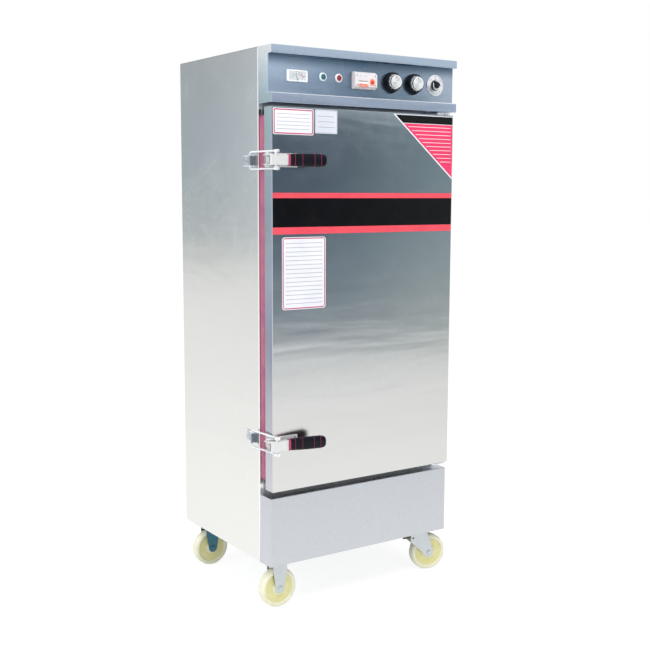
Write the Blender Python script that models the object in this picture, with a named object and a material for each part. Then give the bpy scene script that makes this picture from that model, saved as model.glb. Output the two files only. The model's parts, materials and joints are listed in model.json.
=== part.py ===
"""Rice steamer cabinet on casters: an insulated steel cabinet with one hinged door, tray racks over a
heated water tank, a control housing above the door and two over-centre latches on its side.

Lengths are metres. +X is to the right, +Y is to the back and +Z is up. The origin is on the floor,
in the middle of the whole object's outline.
"""
import math

import bmesh
import bpy
from mathutils import Matrix, Vector

# Clearances
GAP = 0.0003
RUNNING_GAP = 0.0005

# Cabinet body
BODY_WIDTH = 0.700
BODY_DEPTH = 0.522
WALL = 0.046
SHEET = 0.0015
CENTRE_X = 0.0046
BACK_Y = 0.2977
CASTER_HEIGHT = 0.147
LOWER_PANEL_HEIGHT = 0.219
LOWER_GAP = 0.022
DOOR_HEIGHT = 1.170
UPPER_GAP = 0.010
HOUSING_HEIGHT = 0.167
EDGE_RETURN = 0.012
FRAME_LEG = 0.015
FRAME_HIDDEN = 0.019
BASE_PAN_HEIGHT = 0.022
BASE_PAN_SHEET = 0.002

# Door
DOOR_THICKNESS = 0.043
DOOR_LAP = 0.045
DOOR_RIGHT_INSET = 0.002
DOOR_FIELD_RISE = 0.014
DOOR_FIELD_MARGIN = 0.066
DOOR_FIELD_SLOPE = 0.016
GASKET_THICKNESS = 0.036
GASKET_SIDE_INSET = 0.003
GASKET_END_INSET = 0.019
GASKET_HINGE_INSET = 0.0025
GASKET_WIDTH = 0.020
GASKET_CORNER = 0.024

# Hinges at the right end of the door
PIVOT_FROM_RIGHT = 0.015
PIVOT_FROM_DOOR_FRONT = 0.021
HINGE_PIN_RADIUS = 0.005
HINGE_PIN_REACH = 0.018
HINGE_PIN_HEAD = 0.002
HINGE_PLATE = 0.004
HINGE_PLATE_WIDTH = 0.058
HINGE_PLATE_OVERHANG = 0.012
HINGE_FLANGE = 0.019
HINGE_STANDOFF = 0.003
HINGE_COLLAR_RADIUS = 0.008
HINGE_CORNER = 0.010

# Control housing
HOUSING_DEPTH = 0.078
HOUSING_OVERHANG = 0.011
VISOR_HEIGHT = 0.025
STRIP_HEIGHT = 0.030
RECESS_DEPTH = 0.021
LOWER_PANEL_DEPTH = 0.067

# Controls: places are from the body's middle or right side and from the housing's lower edge
CONTROL_LINE = 0.085
THERMOMETER_X = -0.250
THERMOMETER_SIZE = (0.072, 0.008, 0.035)
THERMOMETER_DROP = 0.003
THERMOMETER_EDGE = 0.0015
THERMOMETER_RIM = 0.004
GREEN_LAMP_X = -0.156
RED_LAMP_X = -0.098
LAMP_RADIUS = 0.0135
LAMP_BEZEL_DEPTH = 0.0055
LENS_RADIUS = 0.0088
LENS_DOME = 0.004
BREAKER_X = -0.0065
BREAKER_SIZE = (0.084, 0.020, 0.052)
SELECTOR_FROM_RIGHT = 0.066
THERMOSTAT_FROM_SELECTOR = 0.090
TIMER_FROM_THERMOSTAT = 0.088
KNOB_RADIUS = 0.0315
KNOB_DEPTH = 0.019
KNOB_FLUTES = 14
KNOB_FLUTE = 0.0016
KNOB_CAP_RADIUS = 0.021
KNOB_CAP_DEPTH = 0.010
SELECTOR_PLATE_RADIUS = 0.0345
SELECTOR_PLATE_DEPTH = 0.003
SELECTOR_KNOB_RADIUS = 0.0175
SELECTOR_KNOB_DEPTH = 0.016
SELECTOR_REST_DEG = 45.0
SHAFT_RADIUS = 0.003
SHAFT_REACH = 0.012
TOGGLE_X = -0.012
TOGGLE_WIDTH = 0.034
TOGGLE_RADIUS = 0.0055
TOGGLE_REACH = 0.014
TOGGLE_DROP_DEG = 28.0
TOGGLE_BELOW = 0.009
TOGGLE_FLARE = 0.003
BUTTON_X = 0.023
BUTTON_RADIUS = 0.005
BUTTON_PROUD = 0.0035
BUTTON_TRAVEL = 0.0015
BUTTON_DEPTH = 0.008

# Side latches: places in plan are from the door's left front corner, outwards and forwards
UPPER_LATCH_HEIGHT = 1.253
LOWER_LATCH_HEIGHT = 0.396
LEVER_PIVOT = (-0.020, -0.009)
TRUNNION = (0.016, -0.022)
BAIL_REACH = (-0.010, 0.136)
BAIL_ROD_RADIUS = 0.003
BAIL_HALF_HEIGHT = 0.0255
BAIL_BEND = 0.008
BAIL_NUT = 0.005
BAIL_NUT_RADIUS = 0.0055
BAIL_THREAD = 0.002
LEVER_HALF_HEIGHT = 0.015
LEVER_DEPTH = 0.030
LEVER_LENGTH = 0.055
LEVER_SHEET = 0.0022
LEVER_END_RADIUS = 0.0125
EAR_HALF_HEIGHT = 0.017
EAR_SHEET = 0.0025
LATCH_PIN_RADIUS = 0.003
LATCH_PIN_HEAD = 0.0015
TRUNNION_RADIUS = 0.004
TRUNNION_BLOCK_RADIUS = 0.0075
TRUNNION_BLOCK_HEIGHT = 0.008
LATCH_PLATE = 0.003
LATCH_PLATE_INSET = 0.005
LATCH_PLATE_LENGTH = 0.083
LATCH_PLATE_HALF_HEIGHT = 0.0205
GRIP_LENGTH = 0.115
GRIP_HALF_HEIGHT = 0.0195
GRIP_HALF_THICKNESS = 0.0115
GRIP_TILT_DEG = 11.3
GRIP_SIDES = 14
CATCH_LENGTH = 0.075
CATCH_HALF_HEIGHT = 0.015
CATCH_SHEET = 0.003
CATCH_LIP_DEG = 28.0
CATCH_LIP_REACH = 0.012

# Chamber, trays and water tank
RACK_LEVELS = 12
TRAY_PITCH = 0.085
TRAYS = (("upper_tray", 1), ("middle_tray", 5), ("lower_tray", 9))
TRAY_SIDE_CLEARANCE = 0.005
TRAY_FRONT_CLEARANCE = 0.054
TRAY_BACK_CLEARANCE = 0.022
TRAY_DEPTH = 0.048
TRAY_RIM = 0.015
TRAY_SHEET = 0.001
TRAY_TAPER = 0.008
TRAY_CORNER = 0.022
TOP_TRAY_DROP = 0.048
LEDGE_WIDTH = 0.014
LEDGE_LIP = 0.004
RACK_OVERLENGTH = 0.030
RACK_END = 0.024
RACK_UPRIGHT = 0.030
RACK_WEB = 0.010
TANK_FLOOR = 0.100
TANK_FRONT_MARGIN = 0.035
TANK_SIDE_MARGIN = 0.022
TANK_BACK_MARGIN = 0.020
TANK_CORNER = 0.020
ELEMENT_LOOPS = 3
ELEMENT_SPACING = 0.060
ELEMENT_RADIUS = 0.005
ELEMENT_HALF_WIDTH = 0.018
ELEMENT_HEIGHT = 0.045
ELEMENT_END_CLEARANCE = 0.050
ELEMENT_MARGIN = 0.008
ELEMENT_FLANGE = 0.004
ELEMENT_FLANGE_LAP = 0.014
TERMINAL_LENGTH = 0.012

# Casters: fixed ones on the left, braked swivel ones on the right
WHEEL_RADIUS = 0.0625
WHEEL_WIDTH = 0.032
HUB_RADIUS = 0.017
HUB_WIDTH = 0.036
WHEEL_DISH = 0.0045
WHEEL_SIDES = 20
AXLE_RADIUS = 0.005
AXLE_HEAD_RADIUS = 0.0085
AXLE_HEAD = 0.005
FORK_SHEET = 0.003
FORK_SIDE_GAP = 0.001
FIXED_CASTER_FROM_LEFT = 0.048
SWIVEL_AXIS_FROM_RIGHT = 0.077
FRONT_FIXED_FROM_COVER = 0.0443
FRONT_SWIVEL_FROM_COVER = 0.055
REAR_CASTER_FROM_BACK = 0.0887
FIXED_PLATE = (0.090, 0.064)
SWIVEL_PLATE = (0.092, 0.076)
CASTER_PLATE = 0.0025
FORK_FOOT_RADIUS = 0.0155
FORK_SHOULDER = 0.024
FIXED_FORK_HALF_TOP = 0.025
SWIVEL_TRAIL = 0.038
SWIVEL_RACE_RADIUS = 0.029
SWIVEL_RACE_HEIGHT = 0.009
SWIVEL_CROWN_HALF = 0.032
KINGPIN_RADIUS = 0.006
KINGPIN_HEAD = 0.003
FRONT_SWIVEL_DEG = -14.0
REAR_SWIVEL_DEG = 9.0
BRAKE_PIVOT = (-0.023, 0.120)
BRAKE_PIN_RADIUS = 0.003
BRAKE_HUB_RADIUS = 0.0065

# Fittings on the back, from the body's middle, right side and underside
DRAIN_X = -0.120
DRAIN_ABOVE_TANK_FLOOR = 0.022
DRAIN_REACH = 0.068
DRAIN_BALL = (0.022, 0.040)
DRAIN_PIPE_RADIUS = 0.0095
DRAIN_BORE_RADIUS = 0.007
DRAIN_LEVER_LENGTH = 0.062
INLET_X = 0.120
INLET_BELOW_RIM = 0.028
INLET_REACH = 0.034
VENT_X = 0.0
VENT_BELOW_TOP = 0.075
VENT_REACH = 0.040
VENT_RADIUS = 0.0135
GLAND_FROM_RIGHT = 0.120
GLAND_BELOW_TOP = 0.080
GLAND_REACH = 0.022
GLAND_THREAD_RADIUS = 0.010
PIPE_SIDES = 14

# Stations worked out from the sizes above
LEFT_X = CENTRE_X - BODY_WIDTH / 2
RIGHT_X = CENTRE_X + BODY_WIDTH / 2
FRONT_Y = BACK_Y - BODY_DEPTH
BOTTOM_Z = CASTER_HEIGHT
PANEL_TOP_Z = BOTTOM_Z + LOWER_PANEL_HEIGHT
DOOR_BOTTOM_Z = PANEL_TOP_Z + LOWER_GAP
DOOR_TOP_Z = DOOR_BOTTOM_Z + DOOR_HEIGHT
HOUSING_BOTTOM_Z = DOOR_TOP_Z + UPPER_GAP
TOP_Z = HOUSING_BOTTOM_Z + HOUSING_HEIGHT
INNER_LEFT_X = LEFT_X + WALL
INNER_RIGHT_X = RIGHT_X - WALL
INNER_BACK_Y = BACK_Y - WALL
OPENING_BOTTOM_Z = DOOR_BOTTOM_Z + DOOR_LAP
OPENING_TOP_Z = DOOR_TOP_Z - DOOR_LAP
DOOR_BACK_Y = FRONT_Y - GASKET_THICKNESS
DOOR_FRONT_Y = DOOR_BACK_Y - DOOR_THICKNESS
DOOR_LEFT_X = LEFT_X
DOOR_RIGHT_X = RIGHT_X - DOOR_RIGHT_INSET
PIVOT_X = RIGHT_X - PIVOT_FROM_RIGHT
PIVOT_Y = DOOR_FRONT_Y + PIVOT_FROM_DOOR_FRONT
HOUSING_FRONT_Y = FRONT_Y - HOUSING_DEPTH
RECESS_Y = HOUSING_FRONT_Y + RECESS_DEPTH
COVER_FRONT_Y = FRONT_Y - LOWER_PANEL_DEPTH
CONTROL_Z = HOUSING_BOTTOM_Z + CONTROL_LINE
SELECTOR_X = RIGHT_X - SELECTOR_FROM_RIGHT
THERMOSTAT_X = SELECTOR_X - THERMOSTAT_FROM_SELECTOR
TIMER_X = THERMOSTAT_X - TIMER_FROM_THERMOSTAT
DOOR_PIVOT = (PIVOT_X, PIVOT_Y, 0.0)
FOAM_TOP_Z = OPENING_TOP_Z + WALL - 2 * SHEET
TRAY_LEFT_X = INNER_LEFT_X + TRAY_SIDE_CLEARANCE
TRAY_RIGHT_X = INNER_RIGHT_X - TRAY_SIDE_CLEARANCE
TRAY_FRONT_Y = FRONT_Y + TRAY_FRONT_CLEARANCE
TRAY_BACK_Y = INNER_BACK_Y - TRAY_BACK_CLEARANCE
TANK_FLOOR_Z = BOTTOM_Z + TANK_FLOOR
TANK_FRONT_Y = FRONT_Y + TANK_FRONT_MARGIN
TANK_BACK_Y = INNER_BACK_Y - TANK_BACK_MARGIN
FIXED_CASTER_X = LEFT_X + FIXED_CASTER_FROM_LEFT
SWIVEL_AXIS_X = RIGHT_X - SWIVEL_AXIS_FROM_RIGHT
FRONT_FIXED_Y = COVER_FRONT_Y + FRONT_FIXED_FROM_COVER
FRONT_SWIVEL_Y = COVER_FRONT_Y + FRONT_SWIVEL_FROM_COVER
REAR_CASTER_Y = BACK_Y - REAR_CASTER_FROM_BACK
AXLE_Z = WHEEL_RADIUS
FORK_INNER = HUB_WIDTH / 2 + FORK_SIDE_GAP
FORK_OUTER = FORK_INNER + FORK_SHEET


def clear_scene():
    """Remove every object that the open file holds."""
    for item in list(bpy.data.objects):
        bpy.data.objects.remove(item, do_unlink=True)


def finish_material(name, colour, roughness, metallic):
    """Return a Principled material, made once for each name."""
    found = bpy.data.materials.get(name)
    if found:
        return found
    made = bpy.data.materials.new(name)
    made.use_nodes = True
    shader = made.node_tree.nodes["Principled BSDF"]
    shader.inputs["Base Color"].default_value = (*colour, 1.0)
    shader.inputs["Roughness"].default_value = roughness
    shader.inputs["Metallic"].default_value = metallic
    made.diffuse_color = (*colour, 1.0)
    return made


def steel():
    return finish_material("stainless_sheet", (0.62, 0.64, 0.67), 0.28, 1.0)


def zinc():
    return finish_material("zinc_plate", (0.72, 0.75, 0.77), 0.32, 1.0)


def brass():
    return finish_material("brass", (0.75, 0.58, 0.25), 0.3, 1.0)


def black_plastic():
    return finish_material("black_plastic", (0.02, 0.02, 0.03), 0.35, 0.0)


def white_plastic():
    return finish_material("white_plastic", (0.85, 0.86, 0.86), 0.4, 0.0)


def orange_plastic():
    return finish_material("orange_plastic", (0.85, 0.22, 0.05), 0.35, 0.0)


def link(obj):
    bpy.context.scene.collection.objects.link(obj)
    return obj


def make(name, shape, material, pivot=(0.0, 0.0, 0.0), smooth_deg=None):
    """Turn a bmesh drawn in world places into a named object whose origin is at the pivot."""
    bmesh.ops.recalc_face_normals(shape, faces=shape.faces)
    bmesh.ops.translate(shape, verts=shape.verts, vec=-Vector(pivot))
    mesh = bpy.data.meshes.new(name)
    shape.to_mesh(mesh)
    shape.free()
    if smooth_deg is not None:
        mesh.shade_smooth()
        mesh.set_sharp_from_angle(angle=math.radians(smooth_deg))
    obj = link(bpy.data.objects.new(name, mesh))
    obj.location = pivot
    obj.data.materials.append(material)
    return obj


def add_boolean(obj, cutter_shape, operation="DIFFERENCE"):
    """Cut an object with, or keep only its share of, a hidden cutter drawn in world places."""
    bmesh.ops.recalc_face_normals(cutter_shape, faces=cutter_shape.faces)
    count = sum(1 for mod in obj.modifiers if mod.type == "BOOLEAN")
    name = "cutter_" + obj.name + "_" + str(count)
    mesh = bpy.data.meshes.new(name)
    cutter_shape.to_mesh(mesh)
    cutter_shape.free()
    cutter = link(bpy.data.objects.new(name, mesh))
    cutter.hide_render = True
    cutter.display_type = "WIRE"
    mod = obj.modifiers.new("cut_" + str(count), "BOOLEAN")
    mod.operation = operation
    mod.solver = "EXACT"
    mod.object = cutter
    return obj


def add_loft(shape, rings, close_rings=False):
    """Skin a list of rings with equal counts. The ends are capped unless the rings close on themselves."""
    loops = [[shape.verts.new(point) for point in ring] for ring in rings]
    count = len(loops[0])
    pairs = list(zip(loops, loops[1:]))
    if close_rings:
        pairs.append((loops[-1], loops[0]))
    for first, second in pairs:
        for i in range(count):
            j = (i + 1) % count
            shape.faces.new((first[i], first[j], second[j], second[i]))
    if not close_rings:
        shape.faces.new(loops[0])
        shape.faces.new(list(reversed(loops[-1])))


def add_block(shape, low, high):
    """Add a rectangular block between two corners."""
    corners = [(low[0], low[1]), (high[0], low[1]), (high[0], high[1]), (low[0], high[1])]
    add_loft(shape, [[Vector((x, y, z)) for x, y in corners] for z in (low[2], high[2])])


def place(axis, first, second, along):
    """Turn a point of an outline into a point in space. The outline lies square to the axis."""
    if axis == "X":
        return Vector((along, first, second))
    if axis == "Y":
        return Vector((first, along, second))
    return Vector((first, second, along))


def add_prism(shape, outline, axis, low, high):
    """Extrude an outline along an axis: (y, z) for X, (x, z) for Y and (x, y) for Z."""
    add_loft(shape, [[place(axis, a, b, along) for a, b in outline] for along in (low, high)])


def add_turned(shape, profile, centre, axis, steps, bored=False):
    """Turn a profile of (radius, place along the axis) round an axis through the centre.

    A plain profile starts and ends on the axis. A bored one is a closed loop clear of the axis.
    """
    centre = Vector(centre)
    rings = []
    for i in range(steps):
        turn = 2 * math.pi * i / steps
        ring = []
        for radius, along in profile:
            offset = place(axis, radius * math.cos(turn), radius * math.sin(turn), along)
            ring.append(shape.verts.new(centre + offset))
        rings.append(ring)
    count = len(profile)
    last = count if bored else count - 1
    for i in range(steps):
        now = rings[i]
        after = rings[(i + 1) % steps]
        for k in range(last):
            m = (k + 1) % count
            shape.faces.new((now[k], after[k], after[m], now[m]))
    if not bored:
        ends = [ring[0] for ring in rings] + [ring[-1] for ring in rings]
        bmesh.ops.remove_doubles(shape, verts=ends, dist=0.000001)


def add_rod(shape, centre, axis, radius, low, high, steps=20):
    """Add a plain round rod with flat ends."""
    add_turned(shape, [(0.0, low), (radius, low), (radius, high), (0.0, high)], centre, axis, steps)


def add_tube(shape, points, radius, sides):
    """Sweep a round section along a path, with flat ends square to the path."""
    points = [Vector(point) for point in points]
    count = len(points)
    tangents = []
    for i in range(count):
        before = points[i] - points[i - 1] if i else points[1] - points[0]
        after = points[i + 1] - points[i] if i < count - 1 else before
        tangents.append((before.normalized() + after.normalized()).normalized())
    side = tangents[0].orthogonal().normalized()
    rings = []
    for i, point in enumerate(points):
        side = (side - tangents[i] * side.dot(tangents[i])).normalized()
        up = tangents[i].cross(side)
        stretch = 1.0
        if 0 < i < count - 1:
            stretch = 1.0 / max(0.5, tangents[i].dot((points[i + 1] - point).normalized()))
        bend = (points[min(i + 1, count - 1)] - point).cross(point - points[max(i - 1, 0)])
        bend_side = bend.cross(tangents[i])
        ring = []
        for k in range(sides):
            turn = 2 * math.pi * k / sides
            offset = radius * (math.cos(turn) * side + math.sin(turn) * up)
            if bend_side.length > 1e-9:
                away = bend_side.normalized()
                offset += away * offset.dot(away) * (stretch - 1.0)
            ring.append(point + offset)
        rings.append(ring)
    add_loft(shape, rings)


def add_pan(shape, low, high, wall, open_side):
    """Add a thin box that is open on one side, named such as '+Y' or '-Z'."""
    inner_low = [value + wall for value in low]
    inner_high = [value - wall for value in high]
    axis = "XYZ".index(open_side[1])
    if open_side[0] == "+":
        inner_high[axis] = high[axis]
    else:
        inner_low[axis] = low[axis]
    others = [k for k in range(3) if k != axis]

    def ring(lo, hi, level):
        corners = []
        for a, b in ((lo, lo), (hi, lo), (hi, hi), (lo, hi)):
            point = [0.0, 0.0, 0.0]
            point[others[0]] = a[others[0]]
            point[others[1]] = b[others[1]]
            point[axis] = level
            corners.append(Vector(point))
        return corners

    shut = low[axis] if open_side[0] == "+" else high[axis]
    mouth = high[axis] if open_side[0] == "+" else low[axis]
    floor = inner_low[axis] if open_side[0] == "+" else inner_high[axis]
    rings = [ring(low, high, shut), ring(low, high, mouth)]
    rings += [ring(inner_low, inner_high, mouth), ring(inner_low, inner_high, floor)]
    add_loft(shape, rings)


def arc(centre, radius, start_deg, end_deg, steps):
    """Return points on a round stretch of an outline."""
    points = []
    for i in range(steps + 1):
        turn = math.radians(start_deg + (end_deg - start_deg) * i / steps)
        points.append((centre[0] + radius * math.cos(turn), centre[1] + radius * math.sin(turn)))
    return points


def rounded_rectangle(low, high, radius, steps):
    """Return a rectangle's outline with round corners, anticlockwise from the right lower corner."""
    outline = []
    corners = [(high[0] - radius, low[1] + radius, -90), (high[0] - radius, high[1] - radius, 0)]
    corners += [(low[0] + radius, high[1] - radius, 90), (low[0] + radius, low[1] + radius, 180)]
    for x, y, start in corners:
        outline += arc((x, y), radius, start, start + 90, steps)
    return outline


def add_basin(shape, rim, mouth, taper, corner, rim_z, depth, wall, steps=2):
    """Add a pressed basin with a flat rim. Rim and mouth are each (low, high) corners in plan."""
    def outline(box, shrink, radius, z):
        low = (box[0][0] + shrink, box[0][1] + shrink)
        high = (box[1][0] - shrink, box[1][1] - shrink)
        return [Vector((x, y, z)) for x, y in rounded_rectangle(low, high, radius, steps)]

    floor_z = rim_z - depth
    rings = [
        outline(mouth, taper, corner, floor_z),
        outline(mouth, 0.0, corner, rim_z - wall),
        outline(rim, 0.0, corner * 0.5, rim_z - wall),
        outline(rim, 0.0, corner * 0.5, rim_z),
        outline(mouth, wall, corner - wall, rim_z),
        outline(mouth, taper + wall, corner - wall, floor_z + wall),
    ]
    add_loft(shape, rings)


def build_side_panels():
    """Outer side skins: a flat sheet with a narrow return folded in at the front and the back."""
    for name, edge, inward in (("left_side_panel", LEFT_X, 1), ("right_side_panel", RIGHT_X, -1)):
        inside = edge + inward * SHEET
        front_lip = edge + inward * EDGE_RETURN
        rear_lip = inside + inward * EDGE_RETURN
        rear_fold = BACK_Y - SHEET - GAP
        outline = [
            (front_lip, FRONT_Y), (edge, FRONT_Y), (edge, BACK_Y), (inside, BACK_Y), (inside, rear_fold),
            (rear_lip, rear_fold), (rear_lip, rear_fold - SHEET), (inside, rear_fold - SHEET),
            (inside, FRONT_Y + SHEET), (front_lip, FRONT_Y + SHEET),
        ]
        shape = bmesh.new()
        add_prism(shape, outline, "Z", BOTTOM_Z, TOP_Z - SHEET - GAP)
        make(name, shape, steel())


def build_top_and_base():
    """Top sheet and the base pan that the casters bolt to."""
    shape = bmesh.new()
    add_block(shape, (LEFT_X, FRONT_Y, TOP_Z - SHEET), (RIGHT_X, BACK_Y, TOP_Z))
    make("top_panel", shape, steel())
    side = SHEET + EDGE_RETURN + GAP
    front = COVER_FRONT_Y + SHEET + GAP
    low = (LEFT_X + side, front, BOTTOM_Z)
    high = (RIGHT_X - side, BACK_Y - SHEET - GAP, BOTTOM_Z + BASE_PAN_HEIGHT)
    shape = bmesh.new()
    add_pan(shape, low, high, BASE_PAN_SHEET, "+Z")
    make("base_pan", shape, steel())


def pipe_holes(radius_extra):
    """Yield the place and radius of each pipe that passes through the back."""
    tank_drain_z = TANK_FLOOR_Z + DRAIN_ABOVE_TANK_FLOOR
    yield CENTRE_X + DRAIN_X, tank_drain_z, DRAIN_PIPE_RADIUS + radius_extra
    yield CENTRE_X + INLET_X, OPENING_BOTTOM_Z - INLET_BELOW_RIM, DRAIN_PIPE_RADIUS + radius_extra
    yield CENTRE_X + VENT_X, OPENING_TOP_Z - VENT_BELOW_TOP, VENT_RADIUS + radius_extra


def build_back_panel():
    """Flat back sheet between the side skins, with a hole for each pipe and for the cable gland."""
    side = SHEET + GAP
    shape = bmesh.new()
    add_block(shape, (LEFT_X + side, BACK_Y - SHEET, BOTTOM_Z), (RIGHT_X - side, BACK_Y, TOP_Z - side))
    back = make("back_panel", shape, steel())
    cutter = bmesh.new()
    for x, z, radius in pipe_holes(RUNNING_GAP):
        add_rod(cutter, (x, BACK_Y, z), "Y", radius, -2 * WALL, 2 * SHEET, PIPE_SIDES)
    gland = (RIGHT_X - GLAND_FROM_RIGHT, BACK_Y, TOP_Z - GLAND_BELOW_TOP)
    add_rod(cutter, gland, "Y", GLAND_THREAD_RADIUS + RUNNING_GAP, -0.01, 0.01, PIPE_SIDES)
    add_boolean(back, cutter)


def build_door_frame():
    """Front frame that the gasket closes on: a shallow pressed pan with the door opening cut in it."""
    edge = EDGE_RETURN + GAP
    low = (LEFT_X + edge, FRONT_Y, PANEL_TOP_Z - FRAME_HIDDEN)
    high = (RIGHT_X - edge, FRONT_Y + FRAME_LEG, HOUSING_BOTTOM_Z + FRAME_HIDDEN)
    shape = bmesh.new()
    add_pan(shape, low, high, SHEET, "+Y")
    frame = make("door_frame", shape, steel())
    cutter = bmesh.new()
    cut_low = (INNER_LEFT_X, FRONT_Y - SHEET, OPENING_BOTTOM_Z)
    add_block(cutter, cut_low, (INNER_RIGHT_X, FRONT_Y + 2 * SHEET, OPENING_TOP_Z))
    add_boolean(frame, cutter)


def build_liner_and_insulation():
    """Chamber liner, open at the front and below, and the foam cast between it and the outer skins."""
    skin = SHEET + GAP
    front = FRONT_Y + skin
    low_z = OPENING_BOTTOM_Z + GAP
    shape = bmesh.new()
    low = (INNER_LEFT_X - SHEET, front, low_z)
    add_block(shape, low, (INNER_RIGHT_X + SHEET, INNER_BACK_Y + SHEET, OPENING_TOP_Z + SHEET))
    liner = make("chamber_liner", shape, steel())
    cutter = bmesh.new()
    low = (INNER_LEFT_X, front - SHEET, low_z - SHEET)
    add_block(cutter, low, (INNER_RIGHT_X, INNER_BACK_Y, OPENING_TOP_Z))
    add_boolean(liner, cutter)
    cutter = bmesh.new()
    x, z, radius = list(pipe_holes(RUNNING_GAP))[2]
    add_rod(cutter, (x, INNER_BACK_Y, z), "Y", radius, -0.01, 0.02, PIPE_SIDES)
    add_boolean(liner, cutter)

    foam = finish_material("insulation_foam", (0.85, 0.78, 0.55), 0.9, 0.0)
    slab_front = FRONT_Y + FRAME_LEG + 2 * SHEET
    slab_back = BACK_Y - 2 * skin - GAP
    slab_low = BOTTOM_Z + BASE_PAN_HEIGHT + GAP
    shape = bmesh.new()
    low = (LEFT_X + skin, slab_front, slab_low)
    add_block(shape, low, (RIGHT_X - skin, slab_back, FOAM_TOP_Z))
    insulation = make("wall_insulation", shape, foam)
    cutter = bmesh.new()
    low = (INNER_LEFT_X - skin, slab_front - WALL, slab_low - WALL)
    add_block(cutter, low, (INNER_RIGHT_X + skin, INNER_BACK_Y + skin, OPENING_TOP_Z + skin))
    add_boolean(insulation, cutter)
    cutter = bmesh.new()
    for x, z, radius in pipe_holes(RUNNING_GAP):
        add_rod(cutter, (x, BACK_Y, z), "Y", radius, -2 * WALL, 2 * SHEET, PIPE_SIDES)
    add_boolean(insulation, cutter)


def tray_rim_z(level):
    """Height of a tray's rim on one of the rack's levels, counted from the top."""
    return OPENING_TOP_Z - TOP_TRAY_DROP - level * TRAY_PITCH


def build_racks():
    """A rack on each side wall: an upright sheet with windows in it and a ledge for each level."""
    front = TRAY_FRONT_Y - RACK_OVERLENGTH
    back = INNER_BACK_Y - GAP
    tops = [tray_rim_z(level) - TRAY_SHEET - GAP for level in range(RACK_LEVELS)]
    high, low = tops[0] + RACK_END, tops[-1] - RACK_END
    sides = (("left_tray_rack", INNER_LEFT_X + GAP, 1), ("right_tray_rack", INNER_RIGHT_X - GAP, -1))
    for name, wall_x, inward in sides:
        face = wall_x + inward * SHEET
        edge = wall_x + inward * LEDGE_WIDTH
        lip = edge - inward * SHEET
        outline = [(wall_x, low), (wall_x, high), (face, high)]
        for top in tops:
            outline += [(face, top), (edge, top), (edge, top - LEDGE_LIP), (lip, top - LEDGE_LIP)]
            outline += [(lip, top - SHEET), (face, top - SHEET)]
        outline.append((face, low))
        shape = bmesh.new()
        add_prism(shape, outline, "Y", front, back)
        rack = make(name, shape, steel())
        cutter = bmesh.new()
        xs = sorted((wall_x - inward * SHEET, face + inward * GAP))
        for top in tops[1:]:
            window_low = (xs[0], front + RACK_UPRIGHT, top + RACK_WEB)
            window_high = (xs[1], back - RACK_UPRIGHT, top + TRAY_PITCH - SHEET - RACK_WEB)
            add_block(cutter, window_low, window_high)
        add_boolean(rack, cutter)


def build_trays():
    """Pressed trays, each hung by its rim on a pair of ledges."""
    rim = ((TRAY_LEFT_X, TRAY_FRONT_Y), (TRAY_RIGHT_X, TRAY_BACK_Y))
    mouth = (
        (rim[0][0] + TRAY_RIM, rim[0][1] + TRAY_RIM),
        (rim[1][0] - TRAY_RIM, rim[1][1] - TRAY_RIM),
    )
    for name, level in TRAYS:
        shape = bmesh.new()
        add_basin(shape, rim, mouth, TRAY_TAPER, TRAY_CORNER, tray_rim_z(level), TRAY_DEPTH, TRAY_SHEET)
        make(name, shape, steel())


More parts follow.
